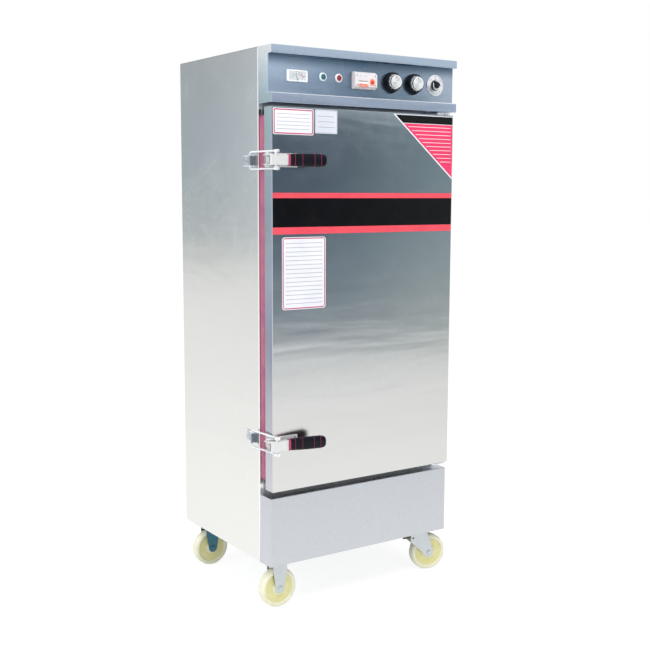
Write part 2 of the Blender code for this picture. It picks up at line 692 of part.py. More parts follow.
def build_tank_and_element():
    """Water tank under the trays, open to the chamber, and the three-loop heating element in it."""
    clear = SHEET + GAP
    rim = ((INNER_LEFT_X - SHEET, FRONT_Y + clear), (INNER_RIGHT_X + SHEET, INNER_BACK_Y + SHEET))
    mouth = (
        (INNER_LEFT_X + TANK_SIDE_MARGIN, TANK_FRONT_Y),
        (INNER_RIGHT_X - TANK_SIDE_MARGIN, TANK_BACK_Y),
    )
    shape = bmesh.new()
    depth = OPENING_BOTTOM_Z - TANK_FLOOR_Z
    add_basin(shape, rim, mouth, 0.0, TANK_CORNER, OPENING_BOTTOM_Z, depth, SHEET, steps=3)
    tank = make("water_tank", shape, steel())
    element_z = TANK_FLOOR_Z + ELEMENT_HEIGHT
    width = (ELEMENT_LOOPS - 1) * ELEMENT_SPACING / 2 + ELEMENT_HALF_WIDTH + ELEMENT_RADIUS
    slot_x, slot_z = width + ELEMENT_MARGIN, ELEMENT_RADIUS + ELEMENT_MARGIN
    slot = rounded_rectangle(
        (CENTRE_X - slot_x, element_z - slot_z), (CENTRE_X + slot_x, element_z + slot_z), slot_z * 0.9, 3
    )
    cutter = bmesh.new()
    add_prism(cutter, slot, "Y", TANK_FRONT_Y - SHEET, TANK_FRONT_Y + 2 * SHEET)
    for x, z, radius in list(pipe_holes(RUNNING_GAP))[:2]:
        add_rod(cutter, (x, TANK_BACK_Y, z), "Y", radius, -2 * SHEET, 2 * SHEET, PIPE_SIDES)
    add_boolean(tank, cutter)

    outside = TANK_FRONT_Y - GAP
    lap = ELEMENT_FLANGE_LAP
    flange = rounded_rectangle(
        (CENTRE_X - slot_x - lap, element_z - slot_z - lap),
        (CENTRE_X + slot_x + lap, element_z + slot_z + lap), lap, 3
    )
    shape = bmesh.new()
    add_prism(shape, flange, "Y", outside - ELEMENT_FLANGE, outside)
    sheath = finish_material("element_sheath", (0.35, 0.30, 0.27), 0.4, 1.0)
    element = make("heating_element", shape, sheath)
    tubes = bmesh.new()
    start = outside - ELEMENT_FLANGE - TERMINAL_LENGTH
    bend_y = TANK_BACK_Y - ELEMENT_END_CLEARANCE - ELEMENT_HALF_WIDTH
    for k in range(ELEMENT_LOOPS):
        x = CENTRE_X + ELEMENT_SPACING * (k - (ELEMENT_LOOPS - 1) / 2)
        path = [(x - ELEMENT_HALF_WIDTH, start, element_z)]
        path += [(a, b, element_z) for a, b in arc((x, bend_y), ELEMENT_HALF_WIDTH, 180, 0, 5)]
        path.append((x + ELEMENT_HALF_WIDTH, start, element_z))
        add_tube(tubes, path, ELEMENT_RADIUS, 6)
    add_boolean(element, tubes, "UNION")


def build_lower_panel():
    """Front cover below the door: a folded sheet with a top and two sides, open behind and below."""
    low = (LEFT_X, COVER_FRONT_Y, BOTTOM_Z)
    high = (RIGHT_X, FRONT_Y - GAP, PANEL_TOP_Z)
    shape = bmesh.new()
    add_block(shape, low, high)
    panel = make("lower_front_panel", shape, steel())
    cutter = bmesh.new()
    cut_low = (low[0] + SHEET, low[1] + SHEET, low[2] - SHEET)
    add_block(cutter, cut_low, (high[0] - SHEET, high[1] + SHEET, high[2] - SHEET))
    add_boolean(panel, cutter)


def housing_outline(sheet, back):
    """Side outline of the housing over the door, drawn in by the sheet's thickness."""
    front, recess = HOUSING_FRONT_Y + sheet, RECESS_Y + sheet
    low, high = HOUSING_BOTTOM_Z + sheet, TOP_Z - sheet
    recess_low = HOUSING_BOTTOM_Z + STRIP_HEIGHT - sheet
    recess_high = TOP_Z - VISOR_HEIGHT + sheet
    return [(back, low), (front, low), (front, recess_low), (recess, recess_low), (recess, recess_high),
            (front, recess_high), (front, high), (back, high)]


def build_control_housing():
    """Folded housing over the door: a visor, a recess for the controls and a lower strip."""
    back = FRONT_Y - GAP
    right_end = RIGHT_X + HOUSING_OVERHANG
    shape = bmesh.new()
    add_prism(shape, housing_outline(0.0, back), "X", LEFT_X, right_end)
    housing = make("control_housing", shape, steel())
    cutter = bmesh.new()
    add_prism(cutter, housing_outline(SHEET, back + SHEET), "X", LEFT_X + SHEET, right_end - SHEET)
    add_boolean(housing, cutter)
    cutter = bmesh.new()
    hole = SHAFT_RADIUS + RUNNING_GAP
    for x in (TIMER_X, THERMOSTAT_X, SELECTOR_X):
        add_rod(cutter, (x, RECESS_Y, CONTROL_Z), "Y", hole, -SHEET, 2 * SHEET, 12)
    add_boolean(housing, cutter)


def build_thermometer():
    """Thermometer: a shallow rounded case with a sunk window."""
    w, d, h = THERMOMETER_SIZE
    x, z = CENTRE_X + THERMOMETER_X, CONTROL_Z - THERMOMETER_DROP
    back = RECESS_Y - GAP
    front = back - d

    def ring(shrink, y):
        low = (x - w / 2 + shrink, z - h / 2 + shrink)
        high = (x + w / 2 - shrink, z + h / 2 - shrink)
        return [Vector((a, y, b)) for a, b in rounded_rectangle(low, high, 0.003, 2)]

    edge, rim = THERMOMETER_EDGE, THERMOMETER_RIM
    shape = bmesh.new()
    rings = [
        ring(0, back), ring(0, front + edge), ring(edge, front), ring(rim, front), ring(rim, front + edge),
    ]
    add_loft(shape, rings)
    make("thermometer", shape, white_plastic())


def build_lamps():
    """Signal lamps: a stepped bezel with a domed lens, turned in one piece."""
    lamps = (
        ("green_lamp", GREEN_LAMP_X, (0.02, 0.35, 0.22)),
        ("red_lamp", RED_LAMP_X, (0.60, 0.02, 0.05)),
    )
    for name, offset, colour in lamps:
        centre = (CENTRE_X + offset, RECESS_Y - GAP, CONTROL_Z)
        face = -LAMP_BEZEL_DEPTH
        profile = [(0.0, 0.0), (LAMP_RADIUS, 0.0), (LAMP_RADIUS, face * 0.55), (LAMP_RADIUS - 0.002, face)]
        for turn in (0, 30, 60):
            drop = LENS_DOME * math.sin(math.radians(turn))
            profile.append((LENS_RADIUS * math.cos(math.radians(turn)), face - drop))
        profile.append((0.0, face - LENS_DOME))
        shape = bmesh.new()
        add_turned(shape, profile, centre, "Y", 18)
        make(name, shape, finish_material(name + "_lens", colour, 0.2, 0.0), smooth_deg=40)


def breaker_centre():
    """Middle of the breaker's front face."""
    return Vector((CENTRE_X + BREAKER_X, RECESS_Y - GAP - BREAKER_SIZE[1], CONTROL_Z - THERMOMETER_DROP))


def toggle_centre():
    """Middle of the breaker toggle's barrel."""
    return breaker_centre() + Vector((TOGGLE_X, TOGGLE_RADIUS, -TOGGLE_BELOW))


def build_breaker():
    """Breaker on the panel: its stepped case, the rocking toggle and the sprung test button."""
    w, d, h = BREAKER_SIZE
    centre = breaker_centre()
    x, front, z = centre
    back = front + d
    step = back - d * 0.45
    outline = [
        (back, z - h / 2), (step, z - h / 2), (front, z - h * 0.36), (front, z + h * 0.36),
        (step, z + h / 2), (back, z + h / 2),
    ]
    shape = bmesh.new()
    add_prism(shape, outline, "X", x - w / 2, x + w / 2)
    case = make("breaker_case", shape, white_plastic())
    axis = toggle_centre()
    clear = TOGGLE_RADIUS + RUNNING_GAP
    slot = TOGGLE_WIDTH / 2 + RUNNING_GAP
    reach = axis.y - front + SHEET
    outline = [(axis.y - reach, axis.z - clear - TOGGLE_FLARE)]
    outline += arc((axis.y, axis.z), clear, -90, 90, 10)
    outline.append((axis.y - reach, axis.z + clear + TOGGLE_FLARE))
    cutter = bmesh.new()
    add_prism(cutter, outline, "X", axis.x - slot, axis.x + slot)
    add_boolean(case, cutter)
    button = (x + BUTTON_X, front, z - TOGGLE_BELOW / 2)
    cutter = bmesh.new()
    add_rod(cutter, button, "Y", BUTTON_RADIUS + RUNNING_GAP, -0.004, BUTTON_DEPTH, 16)
    add_boolean(case, cutter)

    inner = BUTTON_DEPTH - BUTTON_TRAVEL - RUNNING_GAP
    profile = [(0.0, inner), (BUTTON_RADIUS, inner), (BUTTON_RADIUS, 0.001 - BUTTON_PROUD),
               (BUTTON_RADIUS - 0.001, -BUTTON_PROUD), (0.0, -BUTTON_PROUD)]
    shape = bmesh.new()
    add_turned(shape, profile, button, "Y", 16)
    make("test_button", shape, orange_plastic(), pivot=button, smooth_deg=40)

    lean = math.radians(180 + TOGGLE_DROP_DEG)
    out = Vector((math.cos(lean), math.sin(lean)))
    side = Vector((-out.y, out.x)) * (TOGGLE_RADIUS * 0.55)
    hub = Vector((axis.y, axis.z))
    outline = arc(hub, TOGGLE_RADIUS, 180 + TOGGLE_DROP_DEG + 40, 180 + TOGGLE_DROP_DEG + 320, 14)
    outline += [tuple(hub + out * TOGGLE_REACH - side), tuple(hub + out * TOGGLE_REACH + side)]
    shape = bmesh.new()
    add_prism(shape, outline, "X", axis.x - TOGGLE_WIDTH / 2, axis.x + TOGGLE_WIDTH / 2)
    make("breaker_toggle", shape, orange_plastic(), pivot=axis)


def fluted_ring(centre, radius, depth, y, flutes):
    """Return one ring of a fluted knob, three points to a flute."""
    ring = []
    for k in range(flutes * 3):
        turn = 2 * math.pi * k / (flutes * 3)
        reach = radius - (depth if k % 3 == 0 else 0.0)
        ring.append(Vector((centre[0] + reach * math.cos(turn), y, centre[2] + reach * math.sin(turn))))
    return ring


def build_knobs():
    """Timer and thermostat knobs: a fluted skirt round a turned cap with its shaft."""
    back = RECESS_Y - RUNNING_GAP
    front = back - KNOB_DEPTH
    for name, x in (("timer_knob", TIMER_X), ("thermostat_knob", THERMOSTAT_X)):
        centre = (x, back, CONTROL_Z)
        shape = bmesh.new()
        add_loft(shape, [
            fluted_ring(centre, KNOB_RADIUS, KNOB_FLUTE, back, KNOB_FLUTES),
            fluted_ring(centre, KNOB_RADIUS * 0.95, KNOB_FLUTE, front + 0.003, KNOB_FLUTES),
            fluted_ring(centre, KNOB_RADIUS * 0.86, 0.0, front, KNOB_FLUTES),
        ])
        knob = make(name, shape, black_plastic(), pivot=centre, smooth_deg=35)
        foot, crown = -KNOB_DEPTH + SHEET, -KNOB_DEPTH - KNOB_CAP_DEPTH
        profile = [(0.0, SHAFT_REACH), (SHAFT_RADIUS, SHAFT_REACH), (SHAFT_RADIUS, foot),
                   (KNOB_CAP_RADIUS + 0.002, foot), (KNOB_CAP_RADIUS, crown + 0.002),
                   (KNOB_CAP_RADIUS - 0.002, crown), (0.0, crown)]
        cap = bmesh.new()
        add_turned(cap, profile, centre, "Y", 18)
        add_boolean(knob, cap, "UNION")


def build_selector():
    """Selector switch: a round plate on the panel and a knob with a finger bar over it."""
    centre = (SELECTOR_X, RECESS_Y - GAP, CONTROL_Z)
    hole = SHAFT_RADIUS + RUNNING_GAP
    edge, deep = SELECTOR_PLATE_RADIUS, -SELECTOR_PLATE_DEPTH
    profile = [(hole, 0.0), (edge, 0.0), (edge, deep * 0.6), (edge + deep * 0.4, deep), (hole, deep)]
    shape = bmesh.new()
    add_turned(shape, profile, centre, "Y", 24, bored=True)
    bright = finish_material("bright_trim", (0.85, 0.85, 0.87), 0.1, 1.0)
    make("selector_plate", shape, bright, smooth_deg=40)

    base = (centre[0], centre[1] - SELECTOR_PLATE_DEPTH - RUNNING_GAP, CONTROL_Z)
    radius = SELECTOR_KNOB_RADIUS
    skirt = SELECTOR_KNOB_DEPTH * 0.5
    profile = [(0.0, SHAFT_REACH), (SHAFT_RADIUS, SHAFT_REACH), (SHAFT_RADIUS, 0.0), (radius, 0.0),
               (radius, 0.0012 - skirt), (radius - 0.0015, -skirt), (0.0, -skirt)]
    shape = bmesh.new()
    add_turned(shape, profile, base, "Y", 18)
    knob = make("selector_knob", shape, black_plastic(), pivot=base, smooth_deg=35)
    half, length = radius * 0.36, radius * 0.86
    rings = []
    for y, share in ((base[1] - skirt * 0.5, 1.0), (base[1] - SELECTOR_KNOB_DEPTH, 0.88)):
        bar = rounded_rectangle((-half * share, -length * share), (half * share, length * share), 0.004, 3)
        ring = []
        for a, b in bar:
            turn = math.radians(SELECTOR_REST_DEG)
            across = a * math.cos(turn) - b * math.sin(turn)
            up = a * math.sin(turn) + b * math.cos(turn)
            ring.append(Vector((base[0] + across, y, base[2] + up)))
        rings.append(ring)
    bar = bmesh.new()
    add_loft(bar, rings)
    add_boolean(knob, bar, "UNION")


def build_door():
    """Door: outer pan, foam core, pressed inner panel and silicone gasket."""
    low = (DOOR_LEFT_X, DOOR_FRONT_Y, DOOR_BOTTOM_Z)
    high = (DOOR_RIGHT_X, DOOR_BACK_Y - GAP, DOOR_TOP_Z)
    shape = bmesh.new()
    add_pan(shape, low, high, SHEET, "+Y")
    skin = make("door_skin", shape, steel(), pivot=DOOR_PIVOT)
    holes = bmesh.new()
    pockets = bmesh.new()
    deep = HINGE_PIN_REACH + 2 * SHEET
    for z, inward in ((DOOR_BOTTOM_Z, 1), (DOOR_TOP_Z, -1)):
        ends = sorted((z - inward * 2 * SHEET, z + inward * 2 * SHEET))
        add_rod(holes, DOOR_PIVOT, "Z", HINGE_PIN_RADIUS + GAP, ends[0], ends[1], 14)
        ends = sorted((z - inward * 2 * SHEET, z + inward * deep))
        add_rod(pockets, DOOR_PIVOT, "Z", HINGE_PIN_RADIUS + 2 * GAP, ends[0], ends[1], 14)
    add_boolean(skin, holes)

    clear = SHEET + GAP
    foam_back = high[1] - clear - GAP
    shape = bmesh.new()
    add_block(shape, [v + clear for v in low], (high[0] - clear, foam_back, high[2] - clear))
    foam = finish_material("insulation_foam", (0.85, 0.78, 0.55), 0.9, 0.0)
    core = make("door_insulation", shape, foam, pivot=DOOR_PIVOT)
    add_boolean(core, pockets)

    def ring(inset, y):
        a0, a1 = low[0] + clear + inset, high[0] - clear - inset
        b0, b1 = low[2] + clear + inset, high[2] - clear - inset
        return [Vector((a, y, b)) for a, b in ((a0, b0), (a1, b0), (a1, b1), (a0, b1))]

    back = high[1]
    field = back + DOOR_FIELD_RISE
    margin, top_inset = DOOR_FIELD_MARGIN, DOOR_FIELD_MARGIN + DOOR_FIELD_SLOPE
    shape = bmesh.new()
    add_loft(shape, [
        ring(top_inset + SHEET, field - SHEET), ring(margin + SHEET, back - SHEET), ring(0.0, back - SHEET),
        ring(0.0, back), ring(margin, back), ring(top_inset, field),
    ])
    make("door_liner", shape, steel(), pivot=DOOR_PIVOT)


def build_gasket():
    """Silicone gasket: a grooved, bulbous section swept round the door's back."""
    low = (DOOR_LEFT_X + GASKET_SIDE_INSET, DOOR_BOTTOM_Z + GASKET_END_INSET)
    high = (PIVOT_X - GASKET_HINGE_INSET, DOOR_TOP_Z - GASKET_END_INSET)
    door_side = DOOR_BACK_Y + GAP
    depth = FRONT_Y - GAP - door_side
    section = [(0.0, 0.0), (0.0, 0.22), (0.15, 0.30), (0.0, 0.40), (0.0, 0.86), (0.18, 1.0),
               (0.72, 1.0), (1.0, 0.80), (1.0, 0.40), (0.80, 0.30), (0.80, 0.0)]
    rings = []
    for inset, share in section:
        shrink = inset * GASKET_WIDTH
        radius = GASKET_CORNER - shrink
        box = (low[0] + shrink, low[1] + shrink), (high[0] - shrink, high[1] - shrink)
        outline = rounded_rectangle(box[0], box[1], radius, 4)
        rings.append([Vector((a, door_side + share * depth, b)) for a, b in outline])
    shape = bmesh.new()
    add_loft(shape, rings, close_rings=True)
    silicone = finish_material("red_silicone", (0.62, 0.12, 0.20), 0.5, 0.0)
    make("door_gasket", shape, silicone, pivot=DOOR_PIVOT)


def build_hinges():
    """Angle brackets on the frame above and below the door, each with the pin that the door turns on."""
    flange_y = FRONT_Y - GAP
    x_low = DOOR_RIGHT_X - HINGE_PLATE_WIDTH
    front = PIVOT_Y - HINGE_PLATE_OVERHANG
    for name, z, out in (("lower_hinge_bracket", DOOR_BOTTOM_Z, -1), ("upper_hinge_bracket", DOOR_TOP_Z, 1)):
        near = z + out * HINGE_STANDOFF
        far = near + out * HINGE_PLATE
        end = near - out * HINGE_FLANGE
        outline = [(front, near), (front, far), (flange_y, far), (flange_y, end),
                   (flange_y - HINGE_PLATE, end), (flange_y - HINGE_PLATE, near)]
        shape = bmesh.new()
        add_prism(shape, outline, "X", x_low, DOOR_RIGHT_X)
        corners = []
        for edge in shape.edges:
            a, b = edge.verts[0].co, edge.verts[1].co
            upright = abs(a.x - b.x) < 1e-6 and abs(a.y - b.y) < 1e-6
            if upright and abs(a.y - front) < 1e-6:
                corners.append(edge)
        bmesh.ops.bevel(shape, geom=corners, offset=HINGE_CORNER, segments=3, affect="EDGES", profile=0.5)
        bracket = make(name, shape, zinc(), smooth_deg=40)
        tip, shoulder = -HINGE_PIN_REACH, GAP
        head = HINGE_STANDOFF + HINGE_PLATE + HINGE_PIN_HEAD
        profile = [(0.0, tip), (HINGE_PIN_RADIUS, tip), (HINGE_PIN_RADIUS, shoulder),
                   (HINGE_COLLAR_RADIUS, shoulder), (HINGE_COLLAR_RADIUS, head), (0.0, head)]
        pin = bmesh.new()
        add_turned(pin, [(radius, z + out * along) for radius, along in profile], DOOR_PIVOT, "Z", 14)
        add_boolean(bracket, pin, "UNION")


def latch_points(height):
    """Return the lever pivot, trunnion and bail crossbar of the latch at a height above the body's foot."""
    z = BOTTOM_Z + height
    pivot = Vector((DOOR_LEFT_X + LEVER_PIVOT[0], DOOR_FRONT_Y + LEVER_PIVOT[1], z))
    trunnion = pivot + Vector((TRUNNION[0], TRUNNION[1], 0.0))
    bar = trunnion + Vector((BAIL_REACH[0], BAIL_REACH[1], 0.0))
    return pivot, trunnion, bar


def build_latches():
    """Both side latches: base, lever with its grip, wire bail, and the catch on the side panel."""
    for name, height in (("upper", UPPER_LATCH_HEIGHT), ("lower", LOWER_LATCH_HEIGHT)):
        pivot, trunnion, bar = latch_points(height)
        build_latch_base(name + "_latch_base", pivot)
        build_lever(name + "_latch_lever", pivot, trunnion)
        build_grip(name + "_latch_grip", pivot)
        build_bail(name + "_latch_bail", trunnion, bar)
        build_catch(name + "_latch_catch", bar)


def build_latch_base(name, pivot):
    """Base plate on the door's face, with two ears and the riveted pin that the lever turns on."""
    back = DOOR_FRONT_Y - GAP
    left = DOOR_LEFT_X + LATCH_PLATE_INSET
    right = left + LATCH_PLATE_LENGTH
    face = back - LATCH_PLATE
    middle = back - LATCH_PLATE / 2
    half = EAR_HALF_HEIGHT + EAR_SHEET
    plate = [(left, back), (right, back), (right, middle), (right - 0.004, face), (left, face)]
    shape = bmesh.new()
    top = pivot.z + LATCH_PLATE_HALF_HEIGHT
    add_prism(shape, plate, "Z", pivot.z - LATCH_PLATE_HALF_HEIGHT, top)
    base = make(name, shape, zinc(), pivot=DOOR_PIVOT, smooth_deg=40)
    reach = LATCH_PIN_RADIUS * 2.7
    ear = arc((pivot.x, pivot.y), reach, 100, 250, 8)
    ear += [(pivot.x + 0.018, pivot.y - 0.010), (left + 0.024, face - 0.004), (left + 0.024, middle),
            (left + 0.001, middle), (left + 0.001, face - 0.0012), (pivot.x + 0.012, pivot.y + reach * 0.55)]
    ears = bmesh.new()
    for side in (-1, 1):
        ends = sorted((pivot.z + side * EAR_HALF_HEIGHT, pivot.z + side * half))
        add_prism(ears, ear, "Z", ends[0], ends[1])
    add_boolean(base, ears, "UNION")
    head = LATCH_PIN_RADIUS * 1.6
    outer, inner = half + LATCH_PIN_HEAD, half - EAR_SHEET / 2
    profile = [(0.0, -outer), (head, -outer), (head, -inner), (LATCH_PIN_RADIUS, -inner),
               (LATCH_PIN_RADIUS, inner), (head, inner), (head, outer), (0.0, outer)]
    pin = bmesh.new()
    add_turned(pin, profile, pivot, "Z", 10)
    add_boolean(base, pin, "UNION")


def lever_outline():
    """Plan outline of a lever's cheek, from the axis that it turns on."""
    front, end = -LEVER_DEPTH, LEVER_LENGTH
    outline = arc((0.0, 0.0), LEVER_END_RADIUS, 55, 200, 8)
    outline += arc((-LEVER_END_RADIUS + 0.010, front + 0.009), 0.009, 180, 270, 3)
    outline += [(end, front), (end, -0.014), (end - 0.025, -0.010)]
    return outline


def build_lever(name, pivot, trunnion):
    """Pressed lever: a channel with a front web and two cheeks, open towards the door."""
    half = LEVER_HALF_HEIGHT
    inner = half - LEVER_SHEET
    shape = bmesh.new()
    outline = [(pivot.x + a, pivot.y + b) for a, b in lever_outline()]
    add_prism(shape, outline, "Z", pivot.z - half, pivot.z + half)
    lever = make(name, shape, steel(), pivot=pivot, smooth_deg=40)
    left, right = pivot.x - 2 * LEVER_END_RADIUS, pivot.x + LEVER_LENGTH - LEVER_SHEET
    front, back = pivot.y - LEVER_DEPTH + LEVER_SHEET, pivot.y + 2 * LEVER_END_RADIUS
    cutter = bmesh.new()
    add_block(cutter, (left, front, pivot.z - inner), (right, back, pivot.z + inner))
    add_boolean(lever, cutter)
    cutter = bmesh.new()
    add_rod(cutter, pivot, "Z", LATCH_PIN_RADIUS + GAP, -half - 0.002, half + 0.002, 10)
    add_rod(cutter, trunnion, "Z", TRUNNION_RADIUS + GAP, -half - 0.002, half + 0.002, 12)
    add_boolean(lever, cutter)


def build_grip(name, pivot):
    """Moulded grip: an oval bar that swells in the middle, with a rounded tip, butted on the lever."""
    start = pivot + Vector((LEVER_LENGTH + GAP, -0.022, 0.0))
    tilt = math.radians(-GRIP_TILT_DEG)
    along = Vector((math.cos(tilt), math.sin(tilt), 0.0))
    across = Vector((-along.y, along.x, 0.0))
    stations = [(0.0, 0.80), (0.02, 0.88), (0.12, 0.92), (0.30, 0.98), (0.50, 1.0), (0.72, 1.0),
                (0.86, 0.98), (0.94, 0.90), (0.985, 0.70), (1.0, 0.45)]
    rings = []
    for share, swell in stations:
        centre = start + along * (share * GRIP_LENGTH)
        ring = []
        for k in range(GRIP_SIDES):
            turn = 2 * math.pi * k / GRIP_SIDES
            c, s = math.cos(turn), math.sin(turn)
            squash = (abs(c) ** 3 + abs(s) ** 3) ** (-1 / 3)
            up = GRIP_HALF_HEIGHT * swell * squash * s
            out = GRIP_HALF_THICKNESS * swell * squash * c
            point = centre + across * out + Vector((0.0, 0.0, up))
            if share == 0.0:
                point.x = start.x
            ring.append(point)
        rings.append(ring)
    shape = bmesh.new()
    add_loft(shape, rings)
    make(name, shape, black_plastic(), pivot=pivot, smooth_deg=45)


def build_bail(name, trunnion, bar):
    """Wire bail: a bent rod whose threaded ends run through a turned trunnion, with a nut on each."""
    reach = bar - trunnion
    along = reach.normalized()
    half = BAIL_HALF_HEIGHT
    tail = TRUNNION_BLOCK_RADIUS + BAIL_NUT + BAIL_THREAD
    upright = Vector((0.0, 0.0, 1.0))
    path = [trunnion - along * tail + upright * half]
    for a, b in arc((reach.length - BAIL_BEND, half - BAIL_BEND), BAIL_BEND, 90, 0, 3):
        path.append(trunnion + along * a + upright * b)
    for a, b in arc((reach.length - BAIL_BEND, BAIL_BEND - half), BAIL_BEND, 0, -90, 3):
        path.append(trunnion + along * a + upright * b)
    path.append(trunnion - along * tail - upright * half)
    shape = bmesh.new()
    add_tube(shape, path, BAIL_ROD_RADIUS, 6)
    bail = make(name, shape, zinc(), pivot=trunnion, smooth_deg=40)
    block, thin = TRUNNION_BLOCK_RADIUS, TRUNNION_RADIUS
    inner = half - TRUNNION_BLOCK_HEIGHT / 2
    outer = half + TRUNNION_BLOCK_HEIGHT / 2
    profile = [(0.0, -outer), (block, -outer), (block, -inner), (thin, -inner),
               (thin, inner), (block, inner), (block, outer), (0.0, outer)]
    cross = bmesh.new()
    add_turned(cross, profile, trunnion, "Z", 12)
    add_boolean(bail, cross, "UNION")
    nuts = bmesh.new()
    for side in (-1, 1):
        add_rod(nuts, (0.0, 0.0, side * half), "Y", BAIL_NUT_RADIUS, -block - BAIL_NUT, -block + SHEET, 6)
    turn = Matrix.Rotation(math.atan2(along.y, along.x) - math.pi / 2, 4, "Z")
    bmesh.ops.transform(nuts, matrix=Matrix.Translation(trunnion) @ turn, verts=nuts.verts)
    add_boolean(bail, nuts, "UNION")


def build_catch(name, bar):
    """Hook on the side panel: a plate with a sloping lip in front of the bail's crossbar."""
    side = LEFT_X - GAP
    face = side - CATCH_SHEET
    tilt = math.radians(CATCH_LIP_DEG)
    out = Vector((-math.cos(tilt), -math.sin(tilt)))
    rear = Vector((-math.sin(tilt), math.cos(tilt)))
    touch = Vector((bar.x, bar.y)) - rear * (BAIL_ROD_RADIUS + RUNNING_GAP)
    foot = touch + out * ((touch.x - face) / math.cos(tilt))
    tip = touch + out * CATCH_LIP_REACH
    front_foot = foot - rear * CATCH_SHEET
    front_foot += out * ((front_foot.x - face) / math.cos(tilt))
    front_tip = tip - rear * CATCH_SHEET
    plate_front = FRONT_Y + 0.002
    plate_back = plate_front + CATCH_LENGTH
    outline = [(side, plate_front), (side, plate_back), (face + 0.0015, plate_back),
               (face, plate_back - 0.0015), tuple(foot), tuple(tip), tuple(front_tip), tuple(front_foot),
               (face, plate_front)]
    shape = bmesh.new()
    add_prism(shape, outline, "Z", bar.z - CATCH_HALF_HEIGHT, bar.z + CATCH_HALF_HEIGHT)
    make(name, shape, zinc())


def wheel_profile():
    """Section of a moulded wheel: rounded tread, dished web and a hub with a bore."""
    r, h, w = WHEEL_RADIUS, HUB_RADIUS, WHEEL_WIDTH / 2
    bore = AXLE_RADIUS + GAP
    hub = HUB_WIDTH / 2
    web = w - WHEEL_DISH
    side = [(bore, hub), (h, hub), (h + 0.002, web), (r - 0.014, web), (r - 0.011, w), (r - 0.005, w),
            (r, w - 0.007)]
    return side + [(radius, -along) for radius, along in reversed(side)]


def build_wheel(name, centre, turn_deg=0.0):
    """A wheel turned about its axle, which lies along Y before it is swivelled."""
    shape = bmesh.new()
    add_turned(shape, wheel_profile(), (0, 0, 0), "Y", WHEEL_SIDES, bored=True)
    spin = Matrix.Rotation(math.radians(turn_deg), 4, "Z")
    bmesh.ops.transform(shape, matrix=Matrix.Translation(centre) @ spin, verts=shape.verts)
    nylon = finish_material("cream_nylon", (0.80, 0.78, 0.52), 0.45, 0.0)
    make(name, shape, nylon, pivot=centre, smooth_deg=40)


def add_axle(shape, centre):
    """Riveted axle with a domed head on each side, set into both legs of a fork."""
    seat = FORK_OUTER - FORK_SHEET / 2
    end = FORK_OUTER + AXLE_HEAD
    shank, head = AXLE_RADIUS, AXLE_HEAD_RADIUS
    profile = [(0.0, -end), (head * 0.7, -end), (head, -end + AXLE_HEAD / 2), (head, -seat), (shank, -seat),
               (shank, seat), (head, seat), (head, end - AXLE_HEAD / 2), (head * 0.7, end), (0.0, end)]
    add_turned(shape, profile, centre, "Y", 10)


def build_fixed_casters():
    """Left casters: a pressed fork whose top plate is bolted under the base pan, and a wheel."""
    top = BOTTOM_Z - GAP
    plate_low = top - CASTER_PLATE
    bridge_low = plate_low - FORK_SHEET
    foot_low = AXLE_Z - FORK_FOOT_RADIUS - 0.001
    half_x, half_y = FIXED_PLATE[0] / 2, FIXED_PLATE[1] / 2
    x = FIXED_CASTER_X
    for name, y in (("front_left", FRONT_FIXED_Y), ("rear_left", REAR_CASTER_Y)):
        section = [
            (y - half_y, top), (y - half_y, plate_low), (y - FORK_OUTER, plate_low),
            (y - FORK_OUTER, foot_low), (y - FORK_INNER, foot_low), (y - FORK_INNER, bridge_low),
            (y + FORK_INNER, bridge_low), (y + FORK_INNER, foot_low), (y + FORK_OUTER, foot_low),
            (y + FORK_OUTER, plate_low), (y + half_y, plate_low), (y + half_y, top),
        ]
        shape = bmesh.new()
        add_prism(shape, section, "X", x - half_x, x + half_x)
        fork = make(name + "_fork", shape, zinc(), smooth_deg=40)
        wide = half_x + SHEET
        outline = [(x - wide, top + SHEET), (x - wide, plate_low), (x - FIXED_FORK_HALF_TOP, plate_low),
                   (x - FIXED_FORK_HALF_TOP, plate_low - FORK_SHOULDER)]
        outline += arc((x, AXLE_Z), FORK_FOOT_RADIUS, 190, 350, 8)
        outline += [(x + FIXED_FORK_HALF_TOP, plate_low - FORK_SHOULDER),
                    (x + FIXED_FORK_HALF_TOP, plate_low), (x + wide, plate_low), (x + wide, top + SHEET)]
        keep = bmesh.new()
        add_prism(keep, outline, "Y", y - half_y - SHEET, y + half_y + SHEET)
        add_boolean(fork, keep, "INTERSECT")
        axle = bmesh.new()
        add_axle(axle, (x, y, AXLE_Z))
        add_boolean(fork, axle, "UNION")
        build_wheel(name + "_wheel", Vector((x, y, AXLE_Z)))


